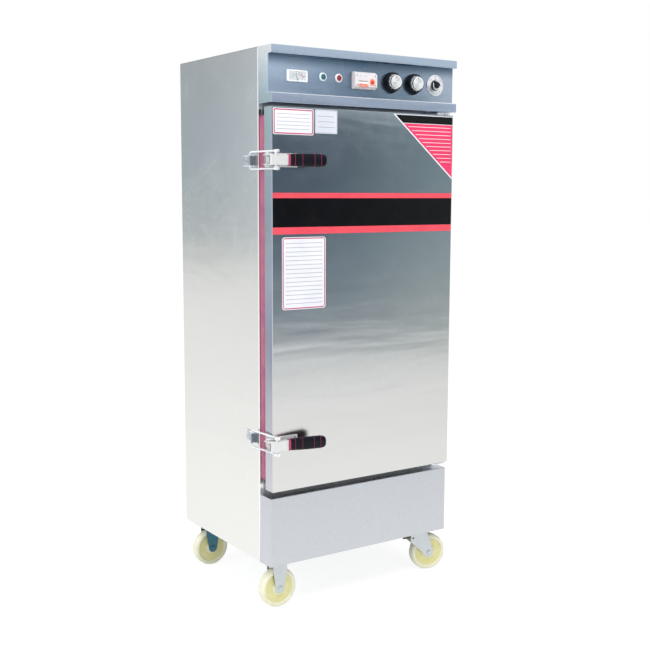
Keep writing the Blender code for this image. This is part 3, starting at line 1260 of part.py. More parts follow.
def build_swivel_casters():
    """Right casters: a top plate with a ball race and kingpin, and a swivelling fork with its wheel."""
    top = BOTTOM_Z - GAP
    plate_low = top - CASTER_PLATE
    race_low = plate_low - SWIVEL_RACE_HEIGHT
    crown_top = race_low - GAP
    crown_low = crown_top - FORK_SHEET
    half_x, half_y = SWIVEL_PLATE[0] / 2, SWIVEL_PLATE[1] / 2
    casters = (
        ("front_right", FRONT_SWIVEL_Y, FRONT_SWIVEL_DEG),
        ("rear_right", REAR_CASTER_Y, REAR_SWIVEL_DEG),
    )
    x = SWIVEL_AXIS_X
    for name, y, turn_deg in casters:
        outline = rounded_rectangle((x - half_x, y - half_y), (x + half_x, y + half_y), 0.008, 2)
        shape = bmesh.new()
        add_prism(shape, outline, "Z", plate_low, top)
        plate = make(name + "_top_plate", shape, zinc(), smooth_deg=40)
        r, pin, head = SWIVEL_RACE_RADIUS, KINGPIN_RADIUS, KINGPIN_RADIUS * 1.6
        head_top = crown_low - GAP
        head_low = head_top - KINGPIN_HEAD
        profile = [(0.0, plate_low + SHEET), (r - 0.004, plate_low + SHEET), (r - 0.004, plate_low),
                   (r, plate_low - 0.003), (r, race_low + 0.003), (r - 0.003, race_low), (pin, race_low),
                   (pin, head_top), (head, head_top), (head * 0.8, head_low), (0.0, head_low)]
        race = bmesh.new()
        add_turned(race, profile, (x, y, 0.0), "Z", 14)
        add_boolean(plate, race, "UNION")
        spin = Matrix.Translation((x, y, 0.0)) @ Matrix.Rotation(math.radians(turn_deg), 4, "Z")
        build_swivel_fork(name + "_fork", crown_top, spin)
        centre = spin @ Vector((SWIVEL_TRAIL, 0.0, AXLE_Z))
        build_wheel(name + "_wheel", centre, turn_deg)
        build_brake(name + "_brake", spin)


def build_swivel_fork(name, crown_top, spin):
    """Fork and axle of one swivel caster, drawn with the trail along +X and then swivelled."""
    crown_low = crown_top - FORK_SHEET
    foot_low = AXLE_Z - FORK_FOOT_RADIUS - 0.001
    half = SWIVEL_CROWN_HALF
    section = [
        (-FORK_OUTER, crown_top), (-FORK_OUTER, foot_low), (-FORK_INNER, foot_low), (-FORK_INNER, crown_low),
        (FORK_INNER, crown_low), (FORK_INNER, foot_low), (FORK_OUTER, foot_low), (FORK_OUTER, crown_top),
    ]
    body = bmesh.new()
    add_prism(body, section, "X", -half, SWIVEL_TRAIL + FORK_FOOT_RADIUS + SHEET)
    keep = bmesh.new()
    outline = [(-half - SHEET, crown_top + SHEET), (-half - SHEET, crown_low - FORK_SHOULDER)]
    outline += arc((SWIVEL_TRAIL, AXLE_Z), FORK_FOOT_RADIUS, 215, 360, 8)
    outline += [(half + 0.010, crown_low - FORK_SHOULDER), (half, crown_low - 0.004),
                (half, crown_top + SHEET)]
    add_prism(keep, outline, "Y", -FORK_OUTER - SHEET, FORK_OUTER + SHEET)
    axle = bmesh.new()
    add_axle(axle, (SWIVEL_TRAIL, 0.0, AXLE_Z))
    holes = bmesh.new()
    across = FORK_OUTER + SHEET
    add_rod(holes, (BRAKE_PIVOT[0], 0.0, BRAKE_PIVOT[1]), "Y", BRAKE_PIN_RADIUS + GAP, -across, across, 10)
    add_rod(holes, (0.0, 0.0, 0.0), "Z", KINGPIN_RADIUS + GAP, crown_low - SHEET, crown_top + SHEET, 12)
    for part in (body, keep, axle, holes):
        bmesh.ops.transform(part, matrix=spin, verts=part.verts)
    fork = make(name, body, zinc(), pivot=spin @ Vector((0.0, 0.0, crown_top)), smooth_deg=40)
    add_boolean(fork, keep, "INTERSECT")
    add_boolean(fork, axle, "UNION")
    add_boolean(fork, holes)


def build_brake(name, spin):
    """Brake pedal with a shoe over the tread, on a pin between the fork's legs."""
    px, pz = BRAKE_PIVOT
    hub = BRAKE_HUB_RADIUS
    outline = arc((px, pz), hub, -40, 100, 5)
    outline += [(px - 0.012, pz + hub + 0.0005), (px - 0.034, pz + 0.002), (px - 0.034, pz - 0.002),
                (px - 0.012, pz + 0.0015), (px - hub, pz - 0.004), (px - 0.002, pz - 0.020),
                (px + 0.004, pz - 0.021)]
    half = FORK_INNER - FORK_SIDE_GAP
    shape = bmesh.new()
    add_prism(shape, outline, "Y", -half, half)
    pin = bmesh.new()
    add_rod(pin, (px, 0.0, pz), "Y", BRAKE_PIN_RADIUS, -FORK_OUTER, FORK_OUTER, 10)
    for part in (shape, pin):
        bmesh.ops.transform(part, matrix=spin, verts=part.verts)
    olive = finish_material("olive_pedal", (0.13, 0.12, 0.05), 0.5, 0.3)
    pedal = make(name, shape, olive, pivot=spin @ Vector((px, 0.0, pz)))
    add_boolean(pedal, pin, "UNION")


def build_back_fittings():
    """Drain valve with its lever, water inlet, steam vent and cable gland, all on the back."""
    holes = list(pipe_holes(0.0))
    start = TANK_BACK_Y - SHEET - BACK_Y
    bore = DRAIN_BORE_RADIUS
    x, z, pipe = holes[0]
    out = DRAIN_REACH
    shape = bmesh.new()
    ball = DRAIN_BALL
    profile = [(0.0, ball[0]), (bore, ball[0]), (bore, start), (pipe, start), (pipe, GAP), (0.015, GAP),
               (0.015, 0.008), (0.0115, 0.010), (0.0115, 0.018), (0.0165, 0.020), (0.0165, 0.042),
               (0.0115, 0.044), (0.0115, 0.052), (0.0145, 0.053), (0.0145, out), (bore, out),
               (bore, ball[1]), (0.0, ball[1])]
    add_turned(shape, profile, (x, BACK_Y, z), "Y", PIPE_SIDES)
    make("drain_valve", shape, brass(), smooth_deg=40)
    stem = Vector((x, BACK_Y + 0.031, z + 0.0165 + GAP))
    shape = bmesh.new()
    reach = DRAIN_LEVER_LENGTH
    rise = 0.010
    outline = arc((stem.x, stem.y), 0.008, -90, 90, 6)
    outline += [(stem.x - reach * 0.3, stem.y + 0.006), (stem.x - reach, stem.y + 0.0075),
                (stem.x - reach, stem.y - 0.0075), (stem.x - reach * 0.3, stem.y - 0.006)]
    add_prism(shape, outline, "Z", stem.z + rise, stem.z + rise + 0.0025)
    red = finish_material("red_lever", (0.6, 0.05, 0.04), 0.4, 0.2)
    lever = make("drain_lever", shape, red, pivot=stem)
    post = bmesh.new()
    add_rod(post, stem, "Z", 0.005, 0.0, rise + 0.001, 14)
    add_boolean(lever, post, "UNION")

    x, z, pipe = holes[1]
    out = INLET_REACH
    shape = bmesh.new()
    profile = [(bore, start), (pipe, start), (pipe, GAP), (0.015, GAP), (0.015, 0.009), (0.0105, 0.011),
               (0.0105, out), (bore, out)]
    add_turned(shape, profile, (x, BACK_Y, z), "Y", PIPE_SIDES, bored=True)
    make("water_inlet", shape, brass(), smooth_deg=40)

    x, z, pipe = holes[2]
    out = VENT_REACH
    start = INNER_BACK_Y - BACK_Y
    inner = pipe - SHEET
    shape = bmesh.new()
    profile = [(inner, start), (pipe, start), (pipe, GAP), (pipe + 0.012, GAP), (pipe + 0.012, 0.002),
               (pipe, 0.002 + GAP), (pipe, out), (inner, out)]
    add_turned(shape, profile, (x, BACK_Y, z), "Y", PIPE_SIDES, bored=True)
    make("vent_pipe", shape, steel(), smooth_deg=40)

    centre = (RIGHT_X - GLAND_FROM_RIGHT, BACK_Y, TOP_Z - GLAND_BELOW_TOP)
    thread = GLAND_THREAD_RADIUS
    bore = thread - 0.004
    shape = bmesh.new()
    profile = [(bore, -0.012), (thread, -0.012), (thread, GAP), (0.0145, GAP), (0.0145, 0.007),
               (0.0125, 0.008), (0.0125, 0.015), (0.009, GLAND_REACH), (bore, GLAND_REACH)]
    add_turned(shape, profile, centre, "Y", PIPE_SIDES, bored=True)
    make("cable_gland", shape, black_plastic(), smooth_deg=40)


def main():
    clear_scene()
    build_side_panels()
    build_top_and_base()
    build_back_panel()
    build_door_frame()
    build_liner_and_insulation()
    build_racks()
    build_trays()
    build_tank_and_element()
    build_lower_panel()
    build_control_housing()
    build_thermometer()
    build_lamps()
    build_breaker()
    build_knobs()
    build_selector()
    build_door()
    build_gasket()
    build_hinges()
    build_latches()
    build_fixed_casters()
    build_swivel_casters()
    build_back_fittings()


main()
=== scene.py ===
"""Rice steamer cabinet: finishes, printed plates, dials, rings, fasteners, light and camera for the model."""

import json
import logging
import math
from dataclasses import dataclass
from enum import Enum
from typing import ClassVar

import bmesh
import bpy
from mathutils import Matrix, Vector

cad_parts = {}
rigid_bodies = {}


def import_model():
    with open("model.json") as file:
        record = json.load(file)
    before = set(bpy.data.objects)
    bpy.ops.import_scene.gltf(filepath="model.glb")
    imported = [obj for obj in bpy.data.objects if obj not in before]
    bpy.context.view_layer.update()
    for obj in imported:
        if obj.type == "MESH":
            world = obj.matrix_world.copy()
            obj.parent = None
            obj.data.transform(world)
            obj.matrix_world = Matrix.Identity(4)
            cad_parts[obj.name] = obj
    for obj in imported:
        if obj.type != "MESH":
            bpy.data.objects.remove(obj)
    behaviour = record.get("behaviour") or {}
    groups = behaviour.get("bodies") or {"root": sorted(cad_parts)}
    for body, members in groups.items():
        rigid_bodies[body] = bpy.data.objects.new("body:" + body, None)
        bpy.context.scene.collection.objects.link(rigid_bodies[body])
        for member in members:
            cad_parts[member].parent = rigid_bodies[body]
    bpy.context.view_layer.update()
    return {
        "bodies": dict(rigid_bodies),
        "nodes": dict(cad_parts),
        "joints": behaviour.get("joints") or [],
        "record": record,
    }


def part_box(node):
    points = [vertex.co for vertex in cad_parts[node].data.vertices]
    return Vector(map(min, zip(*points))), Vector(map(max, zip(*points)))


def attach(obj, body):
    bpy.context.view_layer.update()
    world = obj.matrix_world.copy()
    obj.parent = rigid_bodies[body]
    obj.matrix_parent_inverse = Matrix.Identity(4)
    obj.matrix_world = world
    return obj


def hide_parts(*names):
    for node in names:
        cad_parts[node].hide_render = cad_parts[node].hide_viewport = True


LOG = logging.getLogger("rice_steamer")
FRAME_PIXELS = (650, 650)
Colour = tuple[float, float, float]
Point = tuple[float, float, float]
Outline = list[tuple[float, float]]

FLAT_DEG = 1.0
CRISP_DEG = 32
FOLD_TURN = 0.6
FOLD_WIDTH = 3.2
MERGE = 1e-6
THIN_MERGE = 1e-7


class Axis(Enum):
    """World axis that a turned or extruded shape lies along."""

    X = 0
    Y = 1
    Z = 2


class HeadKind(Enum):
    """Head of a fastener: its sides, and the share of its radius left at the crown."""

    RIVET = (14, 0.55)
    PAN = (18, 0.78)
    HEX = (6, 0.96)


class Edges(Enum):
    """Which edges of a copied solid are rounded."""

    FOLDS = "folds"
    ALL = "all"


def linear(code: str) -> Colour:
    """Return the scene colour of a six digit screen colour.

    Args:
        code: Red, green and blue as hexadecimal digits.

    Returns:
        The colour as linear red, green and blue.
    """
    parts = [int(code[k : k + 2], 16) / 255 for k in (0, 2, 4)]
    red, green, blue = [p / 12.92 if p <= 0.04045 else ((p + 0.055) / 1.055) ** 2.4 for p in parts]
    return red, green, blue


def put(tree: bpy.types.NodeTree, kind: str, inputs: dict | None = None, **settings: object) -> bpy.types.Node:
    """Add a node, set its properties, and fill its inputs with values or with other nodes' outputs.

    Args:
        tree: The tree that the node joins.
        kind: Blender's name for the type of node.
        inputs: Socket name or number to a value or an output socket.
        **settings: Properties of the node.

    Returns:
        The new node.
    """
    node = tree.nodes.new(kind)
    for key, value in settings.items():
        setattr(node, key, value)
    for key, value in (inputs or {}).items():
        if isinstance(value, bpy.types.NodeSocket):
            tree.links.new(value, node.inputs[key])
        else:
            node.inputs[key].default_value = value
    return node


def math_node(tree: bpy.types.NodeTree, operation: str, *values: object) -> bpy.types.NodeSocket:
    """Return the output of a Math node whose inputs are numbers or sockets."""
    return put(tree, "ShaderNodeMath", dict(enumerate(values)), operation=operation).outputs[0]


def mixed(tree: bpy.types.NodeTree, factor: object, first: object, second: object) -> bpy.types.NodeSocket:
    """Return a blend of two colours, each a colour or a socket."""
    ends = [(*c, 1.0) if isinstance(c, tuple) and len(c) == 3 else c for c in (first, second)]
    node = put(tree, "ShaderNodeMix", {0: factor, 6: ends[0], 7: ends[1]}, data_type="RGBA")
    return node.outputs[2]


def tone_ramp(
    tree: bpy.types.NodeTree, share: bpy.types.NodeSocket, tones: tuple[tuple[float, str], ...]
) -> bpy.types.NodeSocket:
    """Return the colour that a smooth run of tones has at a share from 0 to 1.

    Args:
        tree: The tree that the ramp joins.
        share: Output that gives the share.
        tones: Pairs of a place and a six digit screen colour, in order.

    Returns:
        The ramp's colour.
    """
    ramp = put(tree, "ShaderNodeValToRGB", {0: share})
    ramp.color_ramp.interpolation = "B_SPLINE"
    stops = ramp.color_ramp.elements
    while len(stops) < len(tones):
        stops.new(0.5)
    for stop, (place, code) in zip(stops, tones):
        stop.position = place
        stop.color = (*linear(code), 1.0)
    return ramp.outputs[0]


def object_place(tree: bpy.types.NodeTree) -> bpy.types.NodeSocket:
    """Return the Object coordinates."""
    return put(tree, "ShaderNodeTexCoord").outputs["Object"]


def object_parts(tree: bpy.types.NodeTree) -> bpy.types.NodeOutputs:
    """Return the Object coordinates as outputs named X, Y and Z."""
    return put(tree, "ShaderNodeSeparateXYZ", {0: object_place(tree)}).outputs


def span(tree: bpy.types.NodeTree, value: object, low: object, high: object, **more: object) -> bpy.types.NodeSocket:
    """Return a value's share of the way from a low to a high one, kept between 0 and the top share."""
    inputs = {"Value": value, "From Min": low, "From Max": high, "To Max": more.pop("top", 1.0)}
    return put(tree, "ShaderNodeMapRange", inputs, **more).outputs[0]


class EffectGroups:
    """Shader node groups that several finishes share."""

    @staticmethod
    def start(name: str, inputs: dict[str, float | Point], outputs: tuple[str, ...]) -> tuple:
        """Make an empty group with float or vector inputs and float outputs.

        Args:
            name: The group's name.
            inputs: Input name to its starting value.
            outputs: Names of the outputs.

        Returns:
            The tree, its input node and its output node.
        """
        tree = bpy.data.node_groups.new(name, "ShaderNodeTree")
        for label, value in inputs.items():
            kind = "NodeSocketVector" if isinstance(value, tuple) else "NodeSocketFloat"
            tree.interface.new_socket(label, in_out="INPUT", socket_type=kind).default_value = value
        for label in outputs:
            tree.interface.new_socket(label, in_out="OUTPUT", socket_type="NodeSocketFloat")
        return tree, tree.nodes.new("NodeGroupInput"), tree.nodes.new("NodeGroupOutput")

    @classmethod
    def brushed_grain(cls) -> bpy.types.NodeTree:
        """Return the group for rolled or brushed metal: fine streaks stretched along one way."""
        start = {"Stretch": (1.0, 1.0, 1.0), "Fineness": 100.0}
        tree, given, result = cls.start("brushed_grain", start, ("Height", "Streak"))
        place = object_place(tree)
        drawn = put(tree, "ShaderNodeVectorMath", {0: place, 1: given.outputs["Stretch"]}, operation="MULTIPLY")
        noise = put(
            tree, "ShaderNodeTexNoise",
            {"Vector": drawn.outputs[0], "Scale": given.outputs["Fineness"], "Detail": 3.0, "Roughness": 0.6},
        )
        tree.links.new(noise.outputs[0], result.inputs["Height"])
        tree.links.new(span(tree, noise.outputs[0], 0.35, 0.68), result.inputs["Streak"])
        return tree

    @classmethod
    def drifting_tone(cls) -> bpy.types.NodeTree:
        """Return the group for a tone that changes with height, its level bent by slow clouds."""
        start = {"Low": 0.0, "High": 1.0, "Drift": 0.1, "Slope": 0.0, "Cloud Size": (1.5, 1.5, 6.0)}
        tree, given, result = cls.start("drifting_tone", start, ("Tone", "Cloud"))
        place = object_place(tree)
        spread = put(tree, "ShaderNodeVectorMath", {0: place, 1: given.outputs["Cloud Size"]}, operation="MULTIPLY")
        noise = put(
            tree, "ShaderNodeTexNoise",
            {"Vector": spread.outputs[0], "Scale": 1.0, "Detail": 2.5, "Roughness": 0.5, "Distortion": 0.4},
        )
        parts = put(tree, "ShaderNodeSeparateXYZ", {0: place})
        shift = math_node(tree, "MULTIPLY", math_node(tree, "SUBTRACT", noise.outputs[0], 0.5), given.outputs["Drift"])
        lean = math_node(tree, "MULTIPLY", parts.outputs["X"], given.outputs["Slope"])
        level = math_node(tree, "ADD", math_node(tree, "ADD", parts.outputs["Z"], shift), lean)
        tone = span(tree, level, given.outputs["Low"], given.outputs["High"])
        tree.links.new(tone, result.inputs["Tone"])
        tree.links.new(noise.outputs[0], result.inputs["Cloud"])
        return tree

    @classmethod
    def handling_marks(cls) -> bpy.types.NodeTree:
        """Return the group for smudges and rubbed patches left by handling."""
        tree, given, result = cls.start("handling_marks", {"Scale": 12.0, "Cover": 0.5}, ("Mark",))
        place = object_place(tree)
        noise = put(
            tree, "ShaderNodeTexNoise",
            {"Vector": place, "Scale": given.outputs["Scale"], "Detail": 5.0, "Roughness": 0.65, "Distortion": 0.8},
        )
        low = math_node(tree, "SUBTRACT", 0.75, math_node(tree, "MULTIPLY", given.outputs["Cover"], 0.4))
        tree.links.new(span(tree, noise.outputs[0], low, 0.8), result.inputs["Mark"])
        return tree

    @classmethod
    def moulded_skin(cls) -> bpy.types.NodeTree:
        """Return the group for the fine pitted skin and the slow unevenness of a moulding."""
        tree, given, result = cls.start("moulded_skin", {"Grain": 900.0, "Wave": 25.0}, ("Height", "Shade"))
        place = object_place(tree)
        fine = put(tree, "ShaderNodeTexNoise", {"Vector": place, "Scale": given.outputs["Grain"], "Detail": 2.0})
        slow = put(tree, "ShaderNodeTexNoise", {"Vector": place, "Scale": given.outputs["Wave"], "Detail": 3.0})
        height = math_node(tree, "ADD", math_node(tree, "MULTIPLY", fine.outputs[0], 0.4), slow.outputs[0])
        tree.links.new(height, result.inputs["Height"])
        tree.links.new(span(tree, slow.outputs[0], 0.3, 0.7), result.inputs["Shade"])
        return tree

    @classmethod
    def use(cls, tree: bpy.types.NodeTree, name: str, values: dict) -> bpy.types.Node:
        """Place a group, which the method of its name makes once, in a material's tree with its own values."""
        group = bpy.data.node_groups.get(name) or getattr(cls, name)()
        node = put(tree, "ShaderNodeGroup", node_tree=group)
        for key, value in values.items():
            node.inputs[key].default_value = value
        return node


def blank_material(name: str) -> bpy.types.Material:
    """Return a new material with an empty node tree."""
    made = bpy.data.materials.new(name)
    made.use_nodes = True
    made.node_tree.nodes.clear()
    return made


@dataclass(frozen=True)
class Finish:
    """A surface finish with the record's slot that it belongs to.

    Each kind of finish has the strength and distance of its bump (relief), the scale and cover of its handling
    marks (handling), and the roughness that these add (uneven).
    """

    relief: ClassVar[tuple[float, float]] = (0.2, 0.0005)
    handling: ClassVar[tuple[float, float]] = (30.0, 0.5)
    uneven: ClassVar[float] = 0.1
    name: str
    slot: str

    def material(self) -> bpy.types.Material:
        """Return the finish's material, which is made once."""
        found = bpy.data.materials.get(self.name)
        if found:
            return found
        made = blank_material(self.name)
        tree = made.node_tree
        shader = tree.nodes.new("ShaderNodeBsdfPrincipled")
        put(tree, "ShaderNodeOutputMaterial", {"Surface": shader.outputs[0]})
        self.dress(tree, shader)
        return made

    def dress(self, tree: bpy.types.NodeTree, shader: bpy.types.Node) -> None:
        """Build the nodes that feed the shader."""
        raise NotImplementedError

    def bump(self, tree: bpy.types.NodeTree, shader: bpy.types.Node, height: bpy.types.NodeSocket) -> None:
        """Bump the surface by a height."""
        strength, distance = self.relief
        bump = put(tree, "ShaderNodeBump", {"Strength": strength, "Distance": distance, "Height": height})
        tree.links.new(bump.outputs[0], shader.inputs["Normal"])

    def marked(self, tree: bpy.types.NodeTree, shader: bpy.types.Node, rough: object) -> bpy.types.NodeSocket:
        """Add the handling marks to a roughness, and return their share."""
        scale, cover = self.handling
        mark = EffectGroups.use(tree, "handling_marks", {"Scale": scale, "Cover": cover}).outputs["Mark"]
        tree.links.new(math_node(tree, "MULTIPLY_ADD", mark, self.uneven, rough), shader.inputs["Roughness"])
        return mark


@dataclass(frozen=True)
class SheetFinish(Finish):
    """Rolled stainless sheet: grain along one way, a tone that drifts with height, which on the door and sides is
    painted reflected light and shade, and handling marks.
    """

    relief: ClassVar[tuple[float, float]] = (0.35, 0.004)
    handling: ClassVar[tuple[float, float]] = (5.0, 0.7)
    uneven: ClassVar[float] = 0.06
    tinted: ClassVar[float] = 0.10
    streak_tint: ClassVar[Colour] = (0.25, 0.26, 0.27)
    rubbed_tint: ClassVar[Colour] = (0.75, 0.75, 0.73)
    ripple: ClassVar[float] = 2.0
    tones: tuple[tuple[float, str], ...] = ((0.0, "d8d9d8"), (1.0, "9aa3ab"))
    low: float = 0.15
    high: float = 1.735
    drift: float = 0.12
    slope: float = 0.0
    clouds: Point = (1.3, 1.3, 7.0)
    stretch: Point = (1.0, 1.0, 30.0)
    fineness: float = 60.0
    roughness: float = 0.24
    grain: float = 0.06
    # Each edge's tones are painted light: reflection, highlight or shade on the faces beyond a limit.
    edges: tuple[tuple[str, float, tuple[tuple[float, str], ...]], ...] = ()

    def dress(self, tree: bpy.types.NodeTree, shader: bpy.types.Node) -> None:
        """Build the nodes that feed the shader."""
        values = {"Low": self.low, "High": self.high, "Drift": self.drift, "Slope": self.slope,
                  "Cloud Size": self.clouds}
        tone = EffectGroups.use(tree, "drifting_tone", values)
        base = self.zones(tree, tone_ramp(tree, tone.outputs["Tone"], self.tones))
        brushed = {"Stretch": self.stretch, "Fineness": self.fineness}
        grain = EffectGroups.use(tree, "brushed_grain", brushed)
        rough = math_node(tree, "MULTIPLY_ADD", grain.outputs["Streak"], self.uneven, self.roughness)
        mark = self.marked(tree, shader, rough)
        streak = math_node(tree, "MULTIPLY", grain.outputs["Streak"], self.tinted)
        darker = mixed(tree, streak, base, self.streak_tint)
        rubbed = math_node(tree, "MULTIPLY", mark, self.tinted)
        tree.links.new(mixed(tree, rubbed, darker, self.rubbed_tint), shader.inputs["Base Color"])
        shader.inputs["Metallic"].default_value = 1.0
        wave = math_node(tree, "MULTIPLY", tone.outputs["Cloud"], self.ripple)
        height = math_node(tree, "ADD", math_node(tree, "MULTIPLY", grain.outputs["Height"], self.grain), wave)
        self.bump(tree, shader, height)

    def zones(self, tree: bpy.types.NodeTree, base: bpy.types.NodeSocket) -> bpy.types.NodeSocket:
        """Return the sheet's tone with each edge's painted light and shade laid over it, by height.

        Args:
            tree: The material's tree.
            base: The sheet's own tone.

        Returns:
            The tone with its edges.
        """
        if not self.edges:
            return base
        place = object_parts(tree)
        share = span(tree, place["Z"], self.low, self.high)
        for axis, limit, tones in self.edges:
            within = math_node(tree, "LESS_THAN", place[axis], limit)
            base = mixed(tree, within, base, tone_ramp(tree, share, tones))
        return base


@dataclass(frozen=True)
class HousingFinish(SheetFinish):
    """The housing's sheet: the recess with painted shade and the left end with painted light differ from the folds
    round them, and the strip's top fold carries a painted highlight.
    """

    recess_y: float = -0.2813
    left_x: float = -0.3454
    strip_top: float = 1.598
    panel_span: tuple[float, float] = (-0.28, 0.42)
    # Painted shade across the recess: lighter towards both ends, darkest in the middle.
    recess_painted_shade_tones: tuple[tuple[float, str], ...] = (
        (0.0, "b0c4dc"), (0.2, "a0b5cd"), (0.5, "5f788f"), (0.75, "7f94a9"), (1.0, "b8c8dc")
    )
    # Painted shadow of the visor along the top of the recess.
    shade_span: tuple[float, float] = (1.672, 1.708)
    shade: str = "2c4a63"
    shade_share: float = 0.8
    # Painted highlight on the strip's top fold.
    fold: str = "f4f8fb"
    wander: float = 0.12

    def zones(self, tree: bpy.types.NodeTree, base: bpy.types.NodeSocket) -> bpy.types.NodeSocket:
        """Return the sheet's tone with the recess's painted shade, the painted highlight on the strip's top fold and
        the left end's painted light laid over it.
        """
        place = object_parts(tree)
        noise = put(tree, "ShaderNodeTexNoise", {"Scale": 9.0, "Detail": 2.0})
        drift = math_node(tree, "MULTIPLY_ADD", noise.outputs[0], self.wander, place["X"])
        panel = tone_ramp(tree, span(tree, drift, *self.panel_span), self.recess_painted_shade_tones)
        under = span(tree, place["Z"], *self.shade_span, top=self.shade_share, interpolation_type="SMOOTHSTEP")
        panel = mixed(tree, under, panel, linear(self.shade))
        depth = math_node(tree, "COMPARE", place["Y"], self.recess_y, 0.0012)
        inside = math_node(tree, "GREATER_THAN", place["X"], self.left_x + 0.003)
        toned = mixed(tree, math_node(tree, "MULTIPLY", depth, inside), base, panel)
        # A thin painted highlight line along the strip's top fold.
        line = math_node(tree, "COMPARE", place["Z"], self.strip_top - 0.0010, 0.0014)
        return super().zones(tree, mixed(tree, line, toned, linear(self.fold)))


@dataclass(frozen=True)
class PlatedFinish(Finish):
    """Plated, cast or turned metal: two close tones, fine streaks, dull and rubbed patches."""

    relief: ClassVar[tuple[float, float]] = (0.2, 0.0004)
    handling: ClassVar[tuple[float, float]] = (60.0, 0.6)
    uneven: ClassVar[float] = 0.14
    tinted: ClassVar[float] = 0.35
    bright: str = "d4dadd"
    dull: str = "a4adb3"
    roughness: float = 0.26
    stretch: Point = (1.0, 1.0, 1.0)
    fineness: float = 140.0
    metallic: float = 1.0

    def dress(self, tree: bpy.types.NodeTree, shader: bpy.types.Node) -> None:
        """Build the nodes that feed the shader."""
        brushed = {"Stretch": self.stretch, "Fineness": self.fineness}
        grain = EffectGroups.use(tree, "brushed_grain", brushed)
        mark = self.marked(tree, shader, self.roughness)
        share = math_node(tree, "MULTIPLY", grain.outputs["Streak"], self.tinted)
        tone = mixed(tree, share, linear(self.bright), linear(self.dull))
        worn = math_node(tree, "MULTIPLY", mark, self.tinted)
        tree.links.new(mixed(tree, worn, tone, linear(self.dull)), shader.inputs["Base Color"])
        shader.inputs["Metallic"].default_value = self.metallic
        self.bump(tree, shader, grain.outputs["Height"])


@dataclass(frozen=True)
class SpunFinish(Finish):
    """Metal faced on a lathe: fine rings round an axis that lies along Y."""

    relief: ClassVar[tuple[float, float]] = (0.35, 0.00025)
    handling: ClassVar[tuple[float, float]] = (120.0, 0.4)
    uneven: ClassVar[float] = 0.12
    tinted: ClassVar[float] = 0.3
    centre: tuple[float, float] = (0.0, 0.0)
    bright: str = "ffffff"
    dull: str = "ccd7e4"
    pitch: float = 0.0011
    roughness: float = 0.2

    def dress(self, tree: bpy.types.NodeTree, shader: bpy.types.Node) -> None:
        """Build the nodes that feed the shader."""
        place = object_place(tree)
        middle = (-self.centre[0], 0.0, -self.centre[1])
        moved = put(tree, "ShaderNodeMapping", {"Vector": place, "Location": middle, "Scale": (1.0, 0.0, 1.0)})
        reach = put(tree, "ShaderNodeVectorMath", {0: moved.outputs[0]}, operation="LENGTH")
        ring = math_node(tree, "SINE", math_node(tree, "MULTIPLY", reach.outputs["Value"], math.tau / self.pitch))
        share = math_node(tree, "MULTIPLY_ADD", ring, 0.5, 0.5)
        mark = self.marked(tree, shader, self.roughness)
        worn = math_node(tree, "MULTIPLY_ADD", mark, self.tinted, math_node(tree, "MULTIPLY", share, self.tinted))
        tree.links.new(mixed(tree, worn, linear(self.bright), linear(self.dull)), shader.inputs["Base Color"])
        shader.inputs["Metallic"].default_value = 1.0
        self.bump(tree, shader, share)


@dataclass(frozen=True)
class MouldedFinish(Finish):
    """Moulded plastic or rubber: a body colour that shifts a little, fine skin and dusty, rubbed places."""

    relief: ClassVar[tuple[float, float]] = (0.15, 0.0005)
    handling: ClassVar[tuple[float, float]] = (30.0, 0.5)
    uneven: ClassVar[float] = 0.2
    colour: str = "ffffff"
    shade: str = "dddddd"
    roughness: float = 0.4
    skin: float = 900.0
    wave: float = 25.0
    dust: str = "b8b4aa"
    dusty: float = 0.08
    coat: float = 0.0
    gloss: float = 0.5

    def dress(self, tree: bpy.types.NodeTree, shader: bpy.types.Node) -> None:
        """Build the nodes that feed the shader."""
        skin = EffectGroups.use(tree, "moulded_skin", {"Grain": self.skin, "Wave": self.wave})
        mark = self.marked(tree, shader, self.roughness)
        body = mixed(tree, skin.outputs["Shade"], linear(self.colour), linear(self.shade))
        cover = math_node(tree, "MULTIPLY", mark, self.dusty)
        tree.links.new(mixed(tree, cover, body, linear(self.dust)), shader.inputs["Base Color"])
        shader.inputs["Coat Weight"].default_value = self.coat
        shader.inputs["Specular IOR Level"].default_value = self.gloss
        self.bump(tree, shader, skin.outputs["Height"])


@dataclass(frozen=True)
class PrintedFinish(Finish):
    """Printed vinyl or paper under a clear film: flat ink with slight mottling and soft ripples."""

    relief: ClassVar[tuple[float, float]] = (0.2, 0.0006)
    handling: ClassVar[tuple[float, float]] = (18.0, 0.6)
    uneven: ClassVar[float] = 0.15
    ink: str = "ffffff"
    mottle: str = "f0f0f0"
    roughness: float = 0.3
    coat: float = 0.3
    gloss: float = 0.5

    def dress(self, tree: bpy.types.NodeTree, shader: bpy.types.Node) -> None:
        """Build the nodes that feed the shader."""
        skin = EffectGroups.use(tree, "moulded_skin", {"Grain": 1500.0, "Wave": 14.0})
        self.marked(tree, shader, self.roughness)
        ink = mixed(tree, skin.outputs["Shade"], linear(self.ink), linear(self.mottle))
        tree.links.new(ink, shader.inputs["Base Color"])
        shader.inputs["Coat Weight"].default_value = self.coat
        shader.inputs["Specular IOR Level"].default_value = self.gloss
        self.bump(tree, shader, skin.outputs["Height"])


@dataclass(frozen=True)
class LensFinish(Finish):
    """Clear tinted lens: deep colour, ribbed behind, with a polished coat."""

    relief: ClassVar[tuple[float, float]] = (0.1, 0.0003)
    colour: str = "003a4c"
    glow: str = "05606e"
    ribs: float = 700.0

    def dress(self, tree: bpy.types.NodeTree, shader: bpy.types.Node) -> None:
        """Build the nodes that feed the shader."""
        place = object_place(tree)
        facets = put(tree, "ShaderNodeTexVoronoi", {"Vector": place, "Scale": self.ribs})
        share = span(tree, facets.outputs["Distance"], 0.0, 0.9)
        tint = mixed(tree, share, linear(self.colour), linear(self.glow))
        tree.links.new(tint, shader.inputs["Base Color"])
        shader.inputs["Roughness"].default_value = 0.12
        shader.inputs["Coat Weight"].default_value = 0.8
        self.bump(tree, shader, facets.outputs["Distance"])
